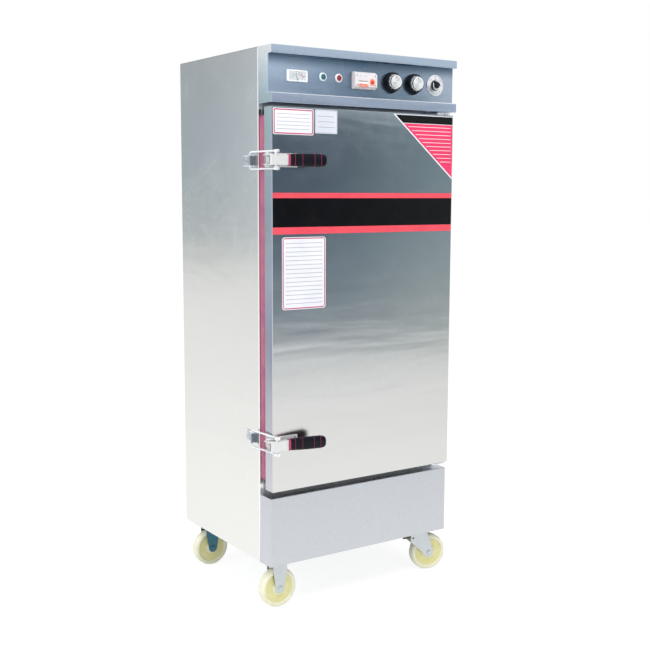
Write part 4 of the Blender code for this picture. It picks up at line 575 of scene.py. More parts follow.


# Painted reflection in the door's colour: pale at the foot, darkening to blue-grey towards the top.
DOOR_PAINTED_REFLECTION_TONES = ((0.0, "d6d6d3"), (0.30, "cfd0cf"), (0.42, "c9cccd"), (0.50, "c2c8cc"), (0.66, "b4c0c9"),
              (0.80, "a4b2bd"), (1.0, "a0aeb9"))
# Painted reflection in the side sheets' colour: near white at the foot, greyer towards the top.
SIDE_PAINTED_REFLECTION_TONES = ((0.0, "e6e6e3"), (0.45, "e0e0dd"), (0.58, "dcddda"), (0.66, "ccd1d2"), (0.85, "c8d2d8"),
              (1.0, "c8ccce"))
ALONG_X: Point = (1.0, 30.0, 30.0)
UPRIGHT: Point = (30.0, 30.0, 1.0)
LEFT_EDGE = -0.3450
FRONT_EDGE = -0.2203
# Painted reflection on the door's left end face, with a darker band part way up.
DOOR_END_PAINTED_REFLECTION_TONES = ((0.0, "c6c6cc"), (0.25, "a8aab6"), (0.4, "7f879c"), (0.55, "a2aabb"), (0.75, "97a6b4"),
                  (1.0, "b2c8cf"))
# Painted light on the housing's left end: darker at the foot, near white at the top.
HOUSING_END_PAINTED_LIGHT_TONES = ((0.0, "a2bac2"), (0.45, "c8dbe4"), (0.75, "e2edf2"), (1.0, "f4f9fc"))
# Painted highlight along the side sheets' front fold.
FOLD_PAINTED_HIGHLIGHT_TONES = ((0.0, "f2f2f0"), (1.0, "fbfbff"))

# The door's tone by height, leaned across it by slope so the upper right is lighter, is painted reflected light and
# shade.
DOOR_SHEET = SheetFinish("door_sheet", "stainless", tones=DOOR_PAINTED_REFLECTION_TONES, low=0.388, high=1.558, drift=0.16,
                         slope=-0.10, stretch=ALONG_X, roughness=0.13, edges=(("X", LEFT_EDGE, DOOR_END_PAINTED_REFLECTION_TONES),))
SIDE_SHEET = SheetFinish("side_sheet", "stainless", tones=SIDE_PAINTED_REFLECTION_TONES, stretch=UPRIGHT, roughness=0.2,
                         edges=(("Y", FRONT_EDGE, FOLD_PAINTED_HIGHLIGHT_TONES),))
FRONT_SHEET = SheetFinish("front_cover_sheet", "stainless", tones=((0.0, "c6c9ce"), (1.0, "c0c4ca")), low=0.147,
                          high=0.366, drift=0.05, stretch=ALONG_X)
HOUSING_SHEET = HousingFinish("housing_sheet", "stainless", tones=((0.0, "b4c2da"), (0.25, "b0c0d8"), (1.0, "b2c4d7")),
                              low=1.568, high=1.735, drift=0.0, stretch=ALONG_X, roughness=0.2,
                              edges=(("X", LEFT_EDGE, HOUSING_END_PAINTED_LIGHT_TONES),))
TOP_SHEET = SheetFinish("top_sheet", "stainless", tones=((0.0, "b6bcc4"), (1.0, "c3c8cf")), stretch=ALONG_X)
INNER_SHEET = SheetFinish("chamber_sheet", "stainless", tones=((0.0, "b8babb"), (1.0, "c4c6c8")), roughness=0.3,
                          stretch=UPRIGHT)
TRAY_SHEET = SheetFinish("tray_sheet", "stainless", tones=((0.0, "c2c5c7"), (1.0, "d0d2d4")), roughness=0.22,
                         stretch=ALONG_X, fineness=90.0)
ZINC = PlatedFinish("zinc_plate", "zinc")
BRIGHT = PlatedFinish("bright_steel", "zinc", bright="e6eaee", dull="b4bcc6", roughness=0.18, stretch=ALONG_X)
SATIN = PlatedFinish("satin_nickel", "zinc", bright="e2e3e1", dull="cdd0d2", roughness=0.38, stretch=ALONG_X,
                     metallic=0.35)
WIRE = PlatedFinish("bright_wire", "zinc", bright="f4f6f9", dull="cfd5de", roughness=0.2, metallic=0.6)
CATCH_STEEL = PlatedFinish("catch_steel", "zinc", bright="b4bdc2", dull="98a2ac", roughness=0.28, metallic=0.8)
FORK_ZINC = PlatedFinish("fork_zinc", "zinc", bright="c9cfd0", dull="b2b9bd", roughness=0.34, metallic=0.7)
# Painted shade: a darker, bluer copy of the fork plating for the rear left fork.
SHADED_FORK_ZINC = PlatedFinish("painted_shade_fork_zinc", "zinc", bright="3f6f7e", dull="2c5666", roughness=0.3, metallic=0.6)
CHROME = PlatedFinish("chrome_trim", "bright_trim", bright="f2f4f6", dull="ccd2d8", roughness=0.1)
BRASS = PlatedFinish("machined_brass", "brass", bright="dcb45a", dull="a8853c", roughness=0.28)
SHEATH = PlatedFinish("heated_sheath", "sheath", bright="7d6f66", dull="4a4240", roughness=0.42)
RED_PAINT = MouldedFinish("red_lever_coat", "red_paint", "b3231c", "8f1a15", roughness=0.35, coat=0.3)
OLIVE_PAINT = MouldedFinish("pedal_coat", "olive_paint", "3f3d18", "2d2b10", roughness=0.42, coat=0.2)
FOAM = MouldedFinish("rigid_foam", "foam", "e2cf9a", "cfb97c", roughness=0.9, skin=400.0, wave=90.0)
SILICONE = MouldedFinish("gasket_silicone", "silicone", "ad6079", "98506c", roughness=0.45, dusty=0.12)
PINK_RING = MouldedFinish("ring_silicone", "silicone", "b23a66", "9a2f58", roughness=0.4)
NYLON = MouldedFinish("cream_nylon", "nylon", "e4e0a6", "dcd694", roughness=0.42, dusty=0.12, wave=45.0)
PALE_NYLON = MouldedFinish("pale_nylon", "nylon", "ecebd6", "e4e3c6", roughness=0.4, dusty=0.1)
WHITE_CASE = MouldedFinish("white_case", "white_plastic", "eef0f2", "e2e5e8", roughness=0.32)
BREAKER_CASE = MouldedFinish("breaker_white", "white_plastic", "dfdadd", "d5d0d4", roughness=0.34)
GREY_CASE = MouldedFinish("grey_print", "white_plastic", "9aa2a8", "868e95", roughness=0.4)
BLACK_CASE = MouldedFinish("black_knob", "black_plastic", "06080f", "10131c", roughness=0.22, dusty=0.02,
                           gloss=0.3)
BLACK_GRIP = MouldedFinish("black_grip", "black_plastic", "04040d", "0a0c1a", roughness=0.3, dusty=0.01,
                           gloss=0.2)
ORANGE_CASE = MouldedFinish("orange_toggle", "orange_plastic", "ef8f78", "e67c66", roughness=0.35)
BUTTON_RED = MouldedFinish("orange_button", "orange_plastic", "e2452e", "cc3322", roughness=0.35)
BUTTON_RING = MouldedFinish("salmon_ring", "orange_plastic", "f6a790", "ee9078", roughness=0.4)
TEAL_LENS = LensFinish("teal_lens", "green_lens")
CRIMSON_LENS = LensFinish("crimson_lens", "red_lens", colour="5e000c", glow="96081c")
WHITE_FILM = PrintedFinish("white_film", "white_plastic", "eeeff4", "e6e8ee")
CARD_FILM = PrintedFinish("card_film", "white_plastic", "dadee6", "d2d7e0")
CRIMSON_INK = PrintedFinish("crimson_ink", "red_paint", "c33a6b", "b8335f")
RING_INK = PrintedFinish("ring_ink", "red_paint", "a02a5c", "8a2350")
STRIPE_INK = PrintedFinish("stripe_ink", "red_paint", "f0525f", "e8475a")
CORNER_INK = PrintedFinish("corner_ink", "red_paint", "f0396b", "e42f62")
BLACK_INK = PrintedFinish("black_ink", "black_plastic", "060508", "0b0a0e", roughness=0.22, coat=0.0, gloss=0.25)
GREY_INK = PrintedFinish("grey_ink", "white_plastic", "9c9cb4", "8e8ea8")
DIAL_CARD = PrintedFinish("dial_card", "white_plastic", "ccd2d6", "c2c9ce", roughness=0.25, coat=0.5)


def linked(name: str, data: bpy.types.ID) -> bpy.types.Object:
    """Return a new object that holds the data, in the scene."""
    made = bpy.data.objects.new(name, data)
    bpy.context.scene.collection.objects.link(made)
    return made


def plain_mesh(made: bpy.types.Object) -> bpy.types.Mesh:
    """Return the mesh that an object shows, with its modifiers or its type worked out."""
    bpy.context.view_layer.update()
    graph = bpy.context.evaluated_depsgraph_get()
    return bpy.data.meshes.new_from_object(made.evaluated_get(graph), depsgraph=graph)


def new_object(name: str, shape: bmesh.types.BMesh, angle: float = 35.0, flip: bool = True) -> bpy.types.Object:
    """Turn a shape that is drawn in place into a smooth-shaded object at the origin.

    Args:
        name: The object's name.
        shape: The drawn shape, which is freed.
        angle: Edges sharper than this many degrees stay crisp.
        flip: Whether the normals are worked out again.

    Returns:
        The new object, in the scene.
    """
    bmesh.ops.remove_doubles(shape, verts=shape.verts, dist=THIN_MERGE)
    if flip:
        bmesh.ops.recalc_face_normals(shape, faces=shape.faces)
    mesh = bpy.data.meshes.new(name)
    shape.to_mesh(mesh)
    shape.free()
    mesh.shade_smooth()
    mesh.set_sharp_from_angle(angle=math.radians(angle))
    return linked(name, mesh)


def bake_modifiers(made: bpy.types.Object) -> bpy.types.Object:
    """Replace an object's mesh by what its modifiers make of it, and remove them."""
    mesh = plain_mesh(made)
    mesh.name = made.name
    made.modifiers.clear()
    made.data = mesh
    return made


def settle(made: bpy.types.Object, finish: Finish, body: str, *nodes: str) -> bpy.types.Object:
    """Dress a finished piece, set it on its body, and report it.

    Args:
        made: The piece, in place.
        finish: Its finish.
        body: The body that it moves with.
        *nodes: Nodes of the model that it stands for.

    Returns:
        The piece.
    """
    made.data.materials.clear()
    made.data.materials.append(finish.material())
    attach(made, body)
    if nodes:
        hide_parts(*nodes)
    LOG.info("%s on %s, %d faces", made.name, body, len(made.data.polygons))
    return made


def dress_node(frame: dict, node: str, finish: Finish) -> None:
    """Give a node of the model that keeps its own shape a better material."""
    data = frame["nodes"][node].data
    data.materials.clear()
    data.materials.append(finish.material())
    LOG.info("%s keeps its shape, in %s", node, finish.name)


def rounded_copy(
    frame: dict, node: str, name: str, radius: float, edges: Edges = Edges.FOLDS, segments: int = 3,
    merge: bool = True
) -> bpy.types.Object:
    """Copy a node of the model with its folds or all its crisp edges rounded.

    Args:
        frame: The loaded model.
        node: The node to copy.
        name: The new object's name.
        radius: Width of the rounding.
        edges: Which edges are rounded.
        segments: Facets across each rounding.
        merge: Whether flat neighbours are merged first, which a face with holes in it doesn't stand.

    Returns:
        The copy, still without a finish.
    """
    shape = bmesh.new()
    shape.from_mesh(frame["nodes"][node].data)
    bmesh.ops.remove_doubles(shape, verts=shape.verts, dist=MERGE)
    if merge:
        bmesh.ops.dissolve_limit(
            shape, angle_limit=math.radians(FLAT_DEG), verts=shape.verts, edges=shape.edges,
            use_dissolve_boundaries=False
        )
    if edges is Edges.FOLDS:
        chosen = [edge for edge in shape.edges if is_fold(edge, FOLD_WIDTH * radius)]
        bmesh.ops.bevel(
            shape, geom=chosen, offset=radius, segments=segments, profile=0.5, affect="EDGES", clamp_overlap=False
        )
    made = new_object(name, shape, flip=False)
    if edges is Edges.ALL:
        bevel = made.modifiers.new("edges", "BEVEL")
        bevel.width, bevel.segments, bevel.angle_limit = radius, segments, math.radians(CRISP_DEG)
        bevel.limit_method = "ANGLE"
    smooth = made.modifiers.new("normals", "WEIGHTED_NORMAL")
    smooth.keep_sharp = True
    return bake_modifiers(made)


def settle_copy(frame: dict, node: str, name: str, radius: float, finish: Finish, body: str) -> None:
    """Settle a copy of a node with all its crisp edges rounded, which stands for the node."""
    settle(rounded_copy(frame, node, name, radius, Edges.ALL, 2), finish, body, node)


def is_fold(edge: bmesh.types.BMEdge, width: float) -> bool:
    """Say whether an edge lies between two faces that are both wide, which the edge of a thin sheet isn't."""
    if len(edge.link_faces) != 2 or edge.calc_length() < width or edge.calc_face_angle(0.0) < FOLD_TURN:
        return False
    return all(face.calc_area() / edge.calc_length() > width for face in edge.link_faces)


def turned(
    name: str, profile: list[tuple[float, float]], centre: Vector | Point, axis: Axis = Axis.Y, steps: int = 48,
    spin: Matrix | None = None, closed: bool = False
) -> bpy.types.Object:
    """Turn a profile about an axis.

    Args:
        name: The object's name.
        profile: Pairs of radius and place along the axis.
        centre: Where the axis and the profile start.
        axis: Way that the axis lies.
        steps: Facets round the axis.
        spin: A turn made about the centre afterwards.
        closed: Whether the profile's last point joins its first, for a ring with a bore.

    Returns:
        The turned object.
    """
    shape = bmesh.new()
    rings = []
    for radius, along in profile:
        ring = []
        count = 1 if radius < THIN_MERGE else steps
        for k in range(count):
            turn = math.tau * k / steps
            a, b = radius * math.cos(turn), radius * math.sin(turn)
            spot = {Axis.X: (along, a, b), Axis.Y: (a, along, b), Axis.Z: (a, b, along)}[axis]
            ring.append(shape.verts.new(spot))
        rings.append(ring)
    pairs = list(zip(rings, rings[1:])) + ([(rings[-1], rings[0])] if closed else [])
    for first, second in pairs:
        for k in range(steps):
            n = (k + 1) % steps
            corners = [first[k % len(first)], first[n % len(first)], second[n % len(second)], second[k % len(second)]]
            unique = list(dict.fromkeys(corners))
            if len(unique) > 2:
                shape.faces.new(unique)
    bmesh.ops.transform(shape, matrix=Matrix.Translation(Vector(centre)) @ (spin or Matrix()), verts=shape.verts)
    return new_object(name, shape)


def loft(name: str, rings: list[list[Vector]], around: bool = False, angle: float = 35.0) -> bpy.types.Object:
    """Skin a row of rings with the same number of points, and cap or join its ends.

    Args:
        name: The object's name.
        rings: The rings, in order.
        around: Whether the last ring joins the first, as in a ring or a frame.
        angle: Edges sharper than this many degrees stay crisp.

    Returns:
        The closed object.
    """
    shape = bmesh.new()
    rows = [[shape.verts.new(point) for point in ring] for ring in rings]
    count = len(rows[0])
    for first, second in list(zip(rows, rows[1:])) + ([(rows[-1], rows[0])] if around else []):
        for k in range(count):
            n = (k + 1) % count
            shape.faces.new((first[k], first[n], second[n], second[k]))
    if not around:
        shape.faces.new(rows[0])
        shape.faces.new(rows[-1])
    return new_object(name, shape, angle)


def rounded_outline(low: tuple[float, float], high: tuple[float, float], radius: float, steps: int = 6) -> Outline:
    """Return the outline of a rectangle with rounded corners, drawn the same way round for every size."""
    outline = []
    corners = ((high[0], high[1], 0), (low[0], high[1], 90), (low[0], low[1], 180), (high[0], low[1], 270))
    for x, z, start in corners:
        cx = x - math.copysign(radius, x - (low[0] + high[0]) / 2)
        cz = z - math.copysign(radius, z - (low[1] + high[1]) / 2)
        for k in range(steps + 1):
            turn = math.radians(start + 90 * k / steps)
            outline.append((cx + radius * math.cos(turn), cz + radius * math.sin(turn)))
    return outline


def upright_plate(name: str, outline: Outline, back: float, front: float) -> bpy.types.Object:
    """Make a thin plate that faces -Y from an outline in X and Z."""
    return loft(name, [[Vector((a, y, b)) for a, b in outline] for y in (back, front)])


def upright_frame(name: str, outer: Outline, inner: Outline, back: float, front: float) -> bpy.types.Object:
    """Make a thin frame that faces -Y between two outlines in X and Z."""
    plan = ((outer, back), (outer, front), (inner, front), (inner, back))
    return loft(name, [[Vector((a, y, b)) for a, b in outline] for outline, y in plan], around=True)


class RepeatTree:
    """Geometry Nodes tree with named inputs, which turns a mesh into one plain mesh of what repeats."""

    def start(self, name: str, wanted: tuple[tuple[str, str, object], ...]) -> tuple:
        """Make the tree with its sockets.

        Args:
            name: The tree's name.
            wanted: Each input's name, kind and starting value.

        Returns:
            The tree and the outputs of its input node.
        """
        self.tree = bpy.data.node_groups.new(name, "GeometryNodeTree")
        face = self.tree.interface
        face.new_socket("Geometry", in_out="INPUT", socket_type="NodeSocketGeometry")
        self.keys: dict[str, str] = {}
        for label, kind, value in wanted:
            socket = face.new_socket(label, in_out="INPUT", socket_type="NodeSocket" + kind)
            if value is not None:
                socket.default_value = value
            self.keys[label] = socket.identifier
        face.new_socket("Geometry", in_out="OUTPUT", socket_type="NodeSocketGeometry")
        return self.tree, self.tree.nodes.new("NodeGroupInput").outputs

    def end(self, points: object, piece: object, turn: object, finish: object) -> None:
        """Set the piece on every point, make it real, dress it and send it out."""
        spread = put(self.tree, "GeometryNodeInstanceOnPoints", {"Points": points, "Instance": piece, "Rotation": turn})
        real = put(self.tree, "GeometryNodeRealizeInstances", {0: spread.outputs[0]})
        dressed = put(self.tree, "GeometryNodeSetMaterial", {"Geometry": real.outputs[0], "Material": finish})
        put(self.tree, "NodeGroupOutput", {0: dressed.outputs[0]})

    def run(self, mesh: bpy.types.Mesh, body: str, finish: Finish, values: dict) -> bpy.types.Object:
        """Run the tree on a mesh, and settle the plain result on its body."""
        made = linked(mesh.name, mesh)
        modifier = made.modifiers.new("repeats", "NODES")
        modifier.node_group = self.tree
        for label, value in {**values, "Finish": finish.material()}.items():
            modifier[self.keys[label]] = value
        return settle(bake_modifiers(made), finish, body)


class FastenerTree(RepeatTree):
    """Geometry Nodes tree that sets a headed fastener on every point of a mesh."""

    washer_height = 0.45
    washer_spread = 1.12
    washer_sides = 20
    slot_width = 0.22
    slot_reach = 1.1
    seed = 11

    def __init__(self) -> None:
        """Build the tree once."""
        wanted = (("Radius", "Float", 0.004), ("Height", "Float", 0.002), ("Crown", "Float", 0.7), ("Sides", "Int", 16),
                  ("Seed", "Int", 7), ("Cross Recess", "Bool", False), ("Finish", "Material", None))
        tree, given = self.start("fasteners_on_points", wanted)
        rim = math_node(tree, "MULTIPLY", given["Radius"], given["Crown"])
        foot = math_node(tree, "MULTIPLY", given["Height"], self.washer_height)
        head_sizes = {"Vertices": given["Sides"], "Radius Top": rim, "Radius Bottom": given["Radius"],
                      "Depth": given["Height"]}
        head = put(tree, "GeometryNodeMeshCone", head_sizes)
        washer_sizes = {"Vertices": self.washer_sides, "Radius Top": given["Radius"], "Depth": foot,
                        "Radius Bottom": math_node(tree, "MULTIPLY", given["Radius"], self.washer_spread)}
        washer = put(tree, "GeometryNodeMeshCone", washer_sizes)
        slot = math_node(tree, "MULTIPLY", given["Radius"], self.slot_width)
        reach = math_node(tree, "MULTIPLY", given["Radius"], self.slot_reach)
        bars = []
        for sizes in ({"X": reach, "Y": slot, "Z": given["Height"]}, {"X": slot, "Y": reach, "Z": given["Height"]}):
            size = put(tree, "ShaderNodeCombineXYZ", sizes)
            cube = put(tree, "GeometryNodeMeshCube", {"Size": size.outputs[0]})
            lift = put(tree, "ShaderNodeCombineXYZ", {"Z": given["Height"]})
            moved = put(tree, "GeometryNodeTransform", {"Geometry": cube.outputs[0], "Translation": lift.outputs[0]})
            bars.append(moved.outputs[0])
        cut = put(tree, "GeometryNodeMeshBoolean", {"Mesh 1": head.outputs["Mesh"]}, operation="DIFFERENCE")
        for bar in bars:
            tree.links.new(bar, cut.inputs["Mesh 2"])
        chosen = put(tree, "GeometryNodeSwitch", {"Switch": given["Cross Recess"], "False": head.outputs["Mesh"],
                                                  "True": cut.outputs[0]}, input_type="GEOMETRY")
        joined = tree.nodes.new("GeometryNodeJoinGeometry")
        tree.links.new(chosen.outputs[0], joined.inputs[0])
        tree.links.new(washer.outputs["Mesh"], joined.inputs[0])
        facing = put(tree, "GeometryNodeInputNamedAttribute", {"Name": "facing"}, data_type="FLOAT_VECTOR")
        aligned = put(tree, "FunctionNodeAlignRotationToVector", {"Vector": facing.outputs[0]}, axis="Z")
        chance = tree.nodes.new("FunctionNodeRandomValue")
        spin_in = [socket for socket in chance.inputs if socket.type == "VALUE"]
        spin_in[1].default_value = math.tau
        tree.links.new(given["Seed"], chance.inputs["Seed"])
        spin_out = [socket for socket in chance.outputs if socket.type == "VALUE"][0]
        twist = put(tree, "FunctionNodeAxisAngleToRotation", {"Axis": (0.0, 0.0, 1.0), "Angle": spin_out})
        turned_round = put(tree, "FunctionNodeRotateRotation", {0: aligned.outputs[0], 1: twist.outputs[0]},
                           rotation_space="LOCAL")
        self.end(given["Geometry"], joined.outputs[0], turned_round.outputs[0], given["Finish"])

    def scatter(
        self, name: str, body: str, finish: Finish, spots: list[tuple[Point, Point]], radius: float, height: float,
        kind: HeadKind = HeadKind.RIVET, recess: bool = False
    ) -> bpy.types.Object:
        """Set fasteners on a body.

        Args:
            name: The piece's name.
            body: The body that it moves with.
            finish: Its finish.
            spots: Pairs of a place and the way that the head faces.
            radius: Radius of a head.
            height: Height of a head.
            kind: Shape of the head.
            recess: Whether the head has a cross recess.

        Returns:
            One plain mesh of all the heads.
        """
        mesh = bpy.data.meshes.new(name)
        mesh.from_pydata([place for place, _ in spots], [], [])
        facing = mesh.attributes.new("facing", "FLOAT_VECTOR", "POINT")
        for k, (_, way) in enumerate(spots):
            facing.data[k].vector = way
        sides, crown = kind.value
        values = {"Radius": radius, "Height": height, "Crown": crown, "Sides": sides, "Seed": self.seed,
                  "Cross Recess": recess}
        return self.run(mesh, body, finish, values)


class MarkTree(RepeatTree):
    """Geometry Nodes tree that sets short bars round an arc, as on a dial."""

    def __init__(self) -> None:
        """Build the tree once."""
        wanted = (("Count", "Int", 11), ("Radius", "Float", 0.03), ("From", "Float", 0.0), ("Sweep", "Float", 3.0),
                  ("Size", "Vector", (0.003, 0.0004, 0.0008)), ("Middle", "Vector", (0, 0, 0)),
                  ("Finish", "Material", None))
        tree, given = self.start("marks_round_an_arc", wanted)
        points = put(tree, "GeometryNodePoints", {"Count": given["Count"]})
        order = put(tree, "GeometryNodeInputIndex")
        last = math_node(tree, "MAXIMUM", math_node(tree, "SUBTRACT", given["Count"], 1.0), 1.0)
        share = math_node(tree, "DIVIDE", order.outputs[0], last)
        turn = math_node(tree, "ADD", math_node(tree, "MULTIPLY", share, given["Sweep"]), given["From"])
        across = math_node(tree, "MULTIPLY", math_node(tree, "COSINE", turn), given["Radius"])
        up = math_node(tree, "MULTIPLY", math_node(tree, "SINE", turn), given["Radius"])
        spot = put(tree, "ShaderNodeCombineXYZ", {"X": across, "Z": up})
        placed = put(tree, "ShaderNodeVectorMath", {0: spot.outputs[0], 1: given["Middle"]}, operation="ADD")
        moved = put(tree, "GeometryNodeSetPosition", {"Geometry": points.outputs[0], "Position": placed.outputs[0]})
        bar = put(tree, "GeometryNodeMeshCube", {"Size": given["Size"]})
        back = math_node(tree, "MULTIPLY", turn, -1.0)
        lean = put(tree, "FunctionNodeAxisAngleToRotation", {"Axis": (0.0, 1.0, 0.0), "Angle": back})
        self.end(moved.outputs[0], bar.outputs[0], lean.outputs[0], given["Finish"])

    def draw(
        self, name: str, body: str, finish: Finish, middle: Point, radius: float, start_deg: float, sweep_deg: float,
        count: int, size: Point
    ) -> bpy.types.Object:
        """Draw marks round an arc in a plane that faces -Y.

        Args:
            name: The piece's name.
            body: The body that it moves with.
            finish: Its finish.
            middle: Centre of the arc.
            radius: Radius of the marks' middles.
            start_deg: Place of the first mark, counted from +X towards +Z.
            sweep_deg: Angle from the first mark to the last.
            count: Number of marks.
            size: Length outwards, depth and width of a mark.

        Returns:
            One plain mesh of all the marks.
        """
        values = {"Count": count, "Radius": radius, "From": math.radians(start_deg),
                  "Sweep": math.radians(sweep_deg), "Size": size, "Middle": tuple(middle)}
        return self.run(bpy.data.meshes.new(name), body, finish, values)


class Assembly:
    """A group of pieces that is built and reported together."""

    def build(self, frame: dict) -> None:
        """Make the group's pieces on the loaded model."""
        raise NotImplementedError


@dataclass
class SheetMetal(Assembly):
    """The folded steel sheets, inside and outside."""

    fold: float = 0.0022
    door_fold: float = 0.0030

    def build(self, frame: dict) -> None:
        """Round the folds that show, and dress the sheets that keep their shape."""
        folded = (
            ("left_side_panel", "left_side_skin", SIDE_SHEET, self.fold),
            ("right_side_panel", "right_side_skin", SIDE_SHEET, self.fold),
            ("lower_front_panel", "front_cover", FRONT_SHEET, self.fold),
            ("control_housing", "housing_shell", HOUSING_SHEET, self.fold),
            ("door_skin", "door_outer_pan", DOOR_SHEET, self.door_fold),
            ("door_frame", "front_frame", INNER_SHEET, self.fold),
        )
        for node, name, finish, radius in folded:
            body = "door" if node == "door_skin" else "cabinet"
            settle(rounded_copy(frame, node, name, radius), finish, body, node)
        kept = {
            TOP_SHEET: ("top_panel", "base_pan"),
            SIDE_SHEET: ("back_panel",),
            INNER_SHEET: ("chamber_liner", "left_tray_rack", "right_tray_rack", "water_tank", "door_liner"),
            TRAY_SHEET: ("upper_tray", "middle_tray", "lower_tray"),
            FOAM: ("wall_insulation", "door_insulation"),
            SHEATH: ("heating_element",),
        }
        for finish, nodes in kept.items():
            for node in nodes:
                dress_node(frame, node, finish)


@dataclass
class DoorGasket(Assembly):
    """Silicone gasket with a ribbed foot, a hollow-looking bulb and a lip, round the door's back."""

    width: float = 0.020
    corner: float = 0.024
    steps: int = 8

    def build(self, frame: dict) -> None:
        """Sweep the section round the door."""
        low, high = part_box("door_gasket")
        depth = high.y - low.y
        section = [(0.0, 0.0), (0.0, 0.10), (0.05, 0.13), (0.05, 0.17), (0.0, 0.20), (0.0, 0.24), (0.13, 0.30),
                   (0.02, 0.37), (0.0, 0.45), (0.0, 0.80), (0.03, 0.90), (0.10, 0.97), (0.20, 1.0), (0.72, 1.0),
                   (0.88, 0.95), (0.98, 0.84), (1.0, 0.72), (1.0, 0.42), (0.93, 0.33), (0.80, 0.30), (0.80, 0.0)]
        rings = []
        for inset, share in section:
            shrink = inset * self.width
            corners = ((low.x + shrink, low.z + shrink), (high.x - shrink, high.z - shrink))
            outline = rounded_outline(*corners, self.corner - shrink, self.steps)
            rings.append([Vector((a, low.y + share * depth, b)) for a, b in outline])
        gasket = loft("silicone_gasket", rings, around=True, angle=50.0)
        settle(gasket, SILICONE, "door", "door_gasket")


@dataclass
class DoorPrints(Assembly):
    """Ruled labels, a striped band and a corner sticker on the door's face."""

    film: float = 0.00025
    ink: float = 0.0001
    label_edge: float = 0.0022
    line_margin: float = 0.007
    line_tall: float = 0.0014
    sticker: tuple[float, float, float] = (1.5535, 1.350, 0.1035)
    sticker_rim: float = 0.0042
    label: tuple[float, float, float, float] = (-0.3405, 1.4755, -0.1985, 1.5525)
    second_label: tuple[float, float, float, float] = (-0.1930, 1.4825, -0.1120, 1.5530)
    sheet_label: tuple[float, float, float, float] = (-0.3104, 0.951, -0.1529, 1.171)

    def build(self, frame: dict) -> None:
        """Lay each print on the door's face."""
        low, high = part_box("door_skin")
        self.face = low.y - 0.00005
        left, right = low.x + 0.0032, high.x - 0.0032
        self.bordered("upper_label", self.label, 0.0045, 0.0035, 5)
        self.bordered("small_label", self.second_label, 0.003, 0.0008, 3, CARD_FILM, GREY_INK)
        self.bordered("sheet_label", self.sheet_label, 0.009, 0.0032, 15)
        bands = (("band_lower_stripe", 1.180, 1.2010, STRIPE_INK), ("band_middle", 1.2010, 1.2880, BLACK_INK),
                 ("band_upper_stripe", 1.2880, 1.3040, STRIPE_INK))
        for name, bottom, top, finish in bands:
            self.flat(name, [(left, bottom), (right, bottom), (right, top), (left, top)], 0, finish)
        self.corner_sticker(right)

    def flat(self, name: str, outline: Outline, layer: int, finish: Finish) -> None:
        """Lay a flat film on the door or on the layers below it."""
        back = self.face - layer * self.ink - (self.film if layer else 0.0)
        thickness = self.ink if layer else self.film
        settle(upright_plate(name, outline, back, back - thickness), finish, "door")

    def bordered(
        self, name: str, place: tuple, radius: float, border: float, lines: int, film: Finish = WHITE_FILM,
        ink: Finish = CRIMSON_INK
    ) -> None:
        """Lay a pale label with a coloured border and plain ruled lines.

        Args:
            name: The label's name.
            place: Its left, bottom, right and top stations.
            radius: Radius of its corners.
            border: Width of the border.
            lines: How many ruled lines it has.
            film: The label's film.
            ink: The border's ink.
        """
        x0, z0, x1, z1 = place
        self.flat(name, rounded_outline((x0, z0), (x1, z1), radius), 0, film)
        edge = self.label_edge
        outer = rounded_outline((x0 + edge, z0 + edge), (x1 - edge, z1 - edge), radius)
        inset = edge + border
        inner = rounded_outline((x0 + inset, z0 + inset), (x1 - inset, z1 - inset), radius * 0.5)
        back = self.face - self.film
        made = upright_frame(name + "_border", outer, inner, back, back - self.ink)
        settle(made, ink, "door")
        step = (z1 - z0 - 2 * inset) / (lines + 1)
        ends = (x0 + inset + self.line_margin, x1 - inset - self.line_margin)
        runs = [(*ends, z1 - inset - step * (k + 1)) for k in range(lines)]
        self.ruled(name + "_lines", runs, back, self.line_tall, GREY_INK)

    def ruled(self, name: str, runs: list[tuple[float, float, float]], back: float, tall: float, ink: Finish) -> None:
        """Rule plain lines on a label, each from one x to another at a height."""
        shape = bmesh.new()
        for left, right, z in runs:
            size = Vector((right - left, self.ink, tall))
            spot = Matrix.Translation(((left + right) / 2, back - self.ink / 2, z)) @ Matrix.Diagonal((*size, 1.0))
            bmesh.ops.create_cube(shape, size=1.0, matrix=spot)
        settle(new_object(name, shape), ink, "door")

    def corner_sticker(self, right: float) -> None:
        """Lay the three-sided sticker in the door's upper right corner."""
        top, foot, left = self.sticker
        white = [(left, top), (right, foot), (right, top)]
        self.flat("corner_sticker", white, 0, WHITE_FILM)
        rim = self.sticker_rim
        slope = (top - foot) / (right - left)
        diagonal = rim * math.hypot(1.0, slope)

        def at(z: float) -> float:
            """Return where the inner sloping edge is at a height."""
            return left + (top - z) / slope + diagonal / slope

        inner_top, inner_right, split = top - rim * 0.5, right - 0.0008, top - 0.0265
        black = [(at(inner_top), inner_top), (at(split), split), (inner_right, split), (inner_right, inner_top)]
        self.flat("corner_strip", black, 1, BLACK_INK)
        lower = split - 0.0018
        tip = top - (inner_right - left) * slope + diagonal
        red = [(at(lower), lower), (inner_right, tip), (inner_right, lower)]
        self.flat("corner_field", red, 1, CORNER_INK)
        heights = [lower - 0.0095 - 0.0122 * k for k in range(10)]
        runs = [(at(z) + 0.009, inner_right - 0.006, z) for z in heights if inner_right - at(z) > 0.024]
        self.ruled("corner_lines", runs, self.face - self.film - 2 * self.ink, 0.0017, WHITE_FILM)


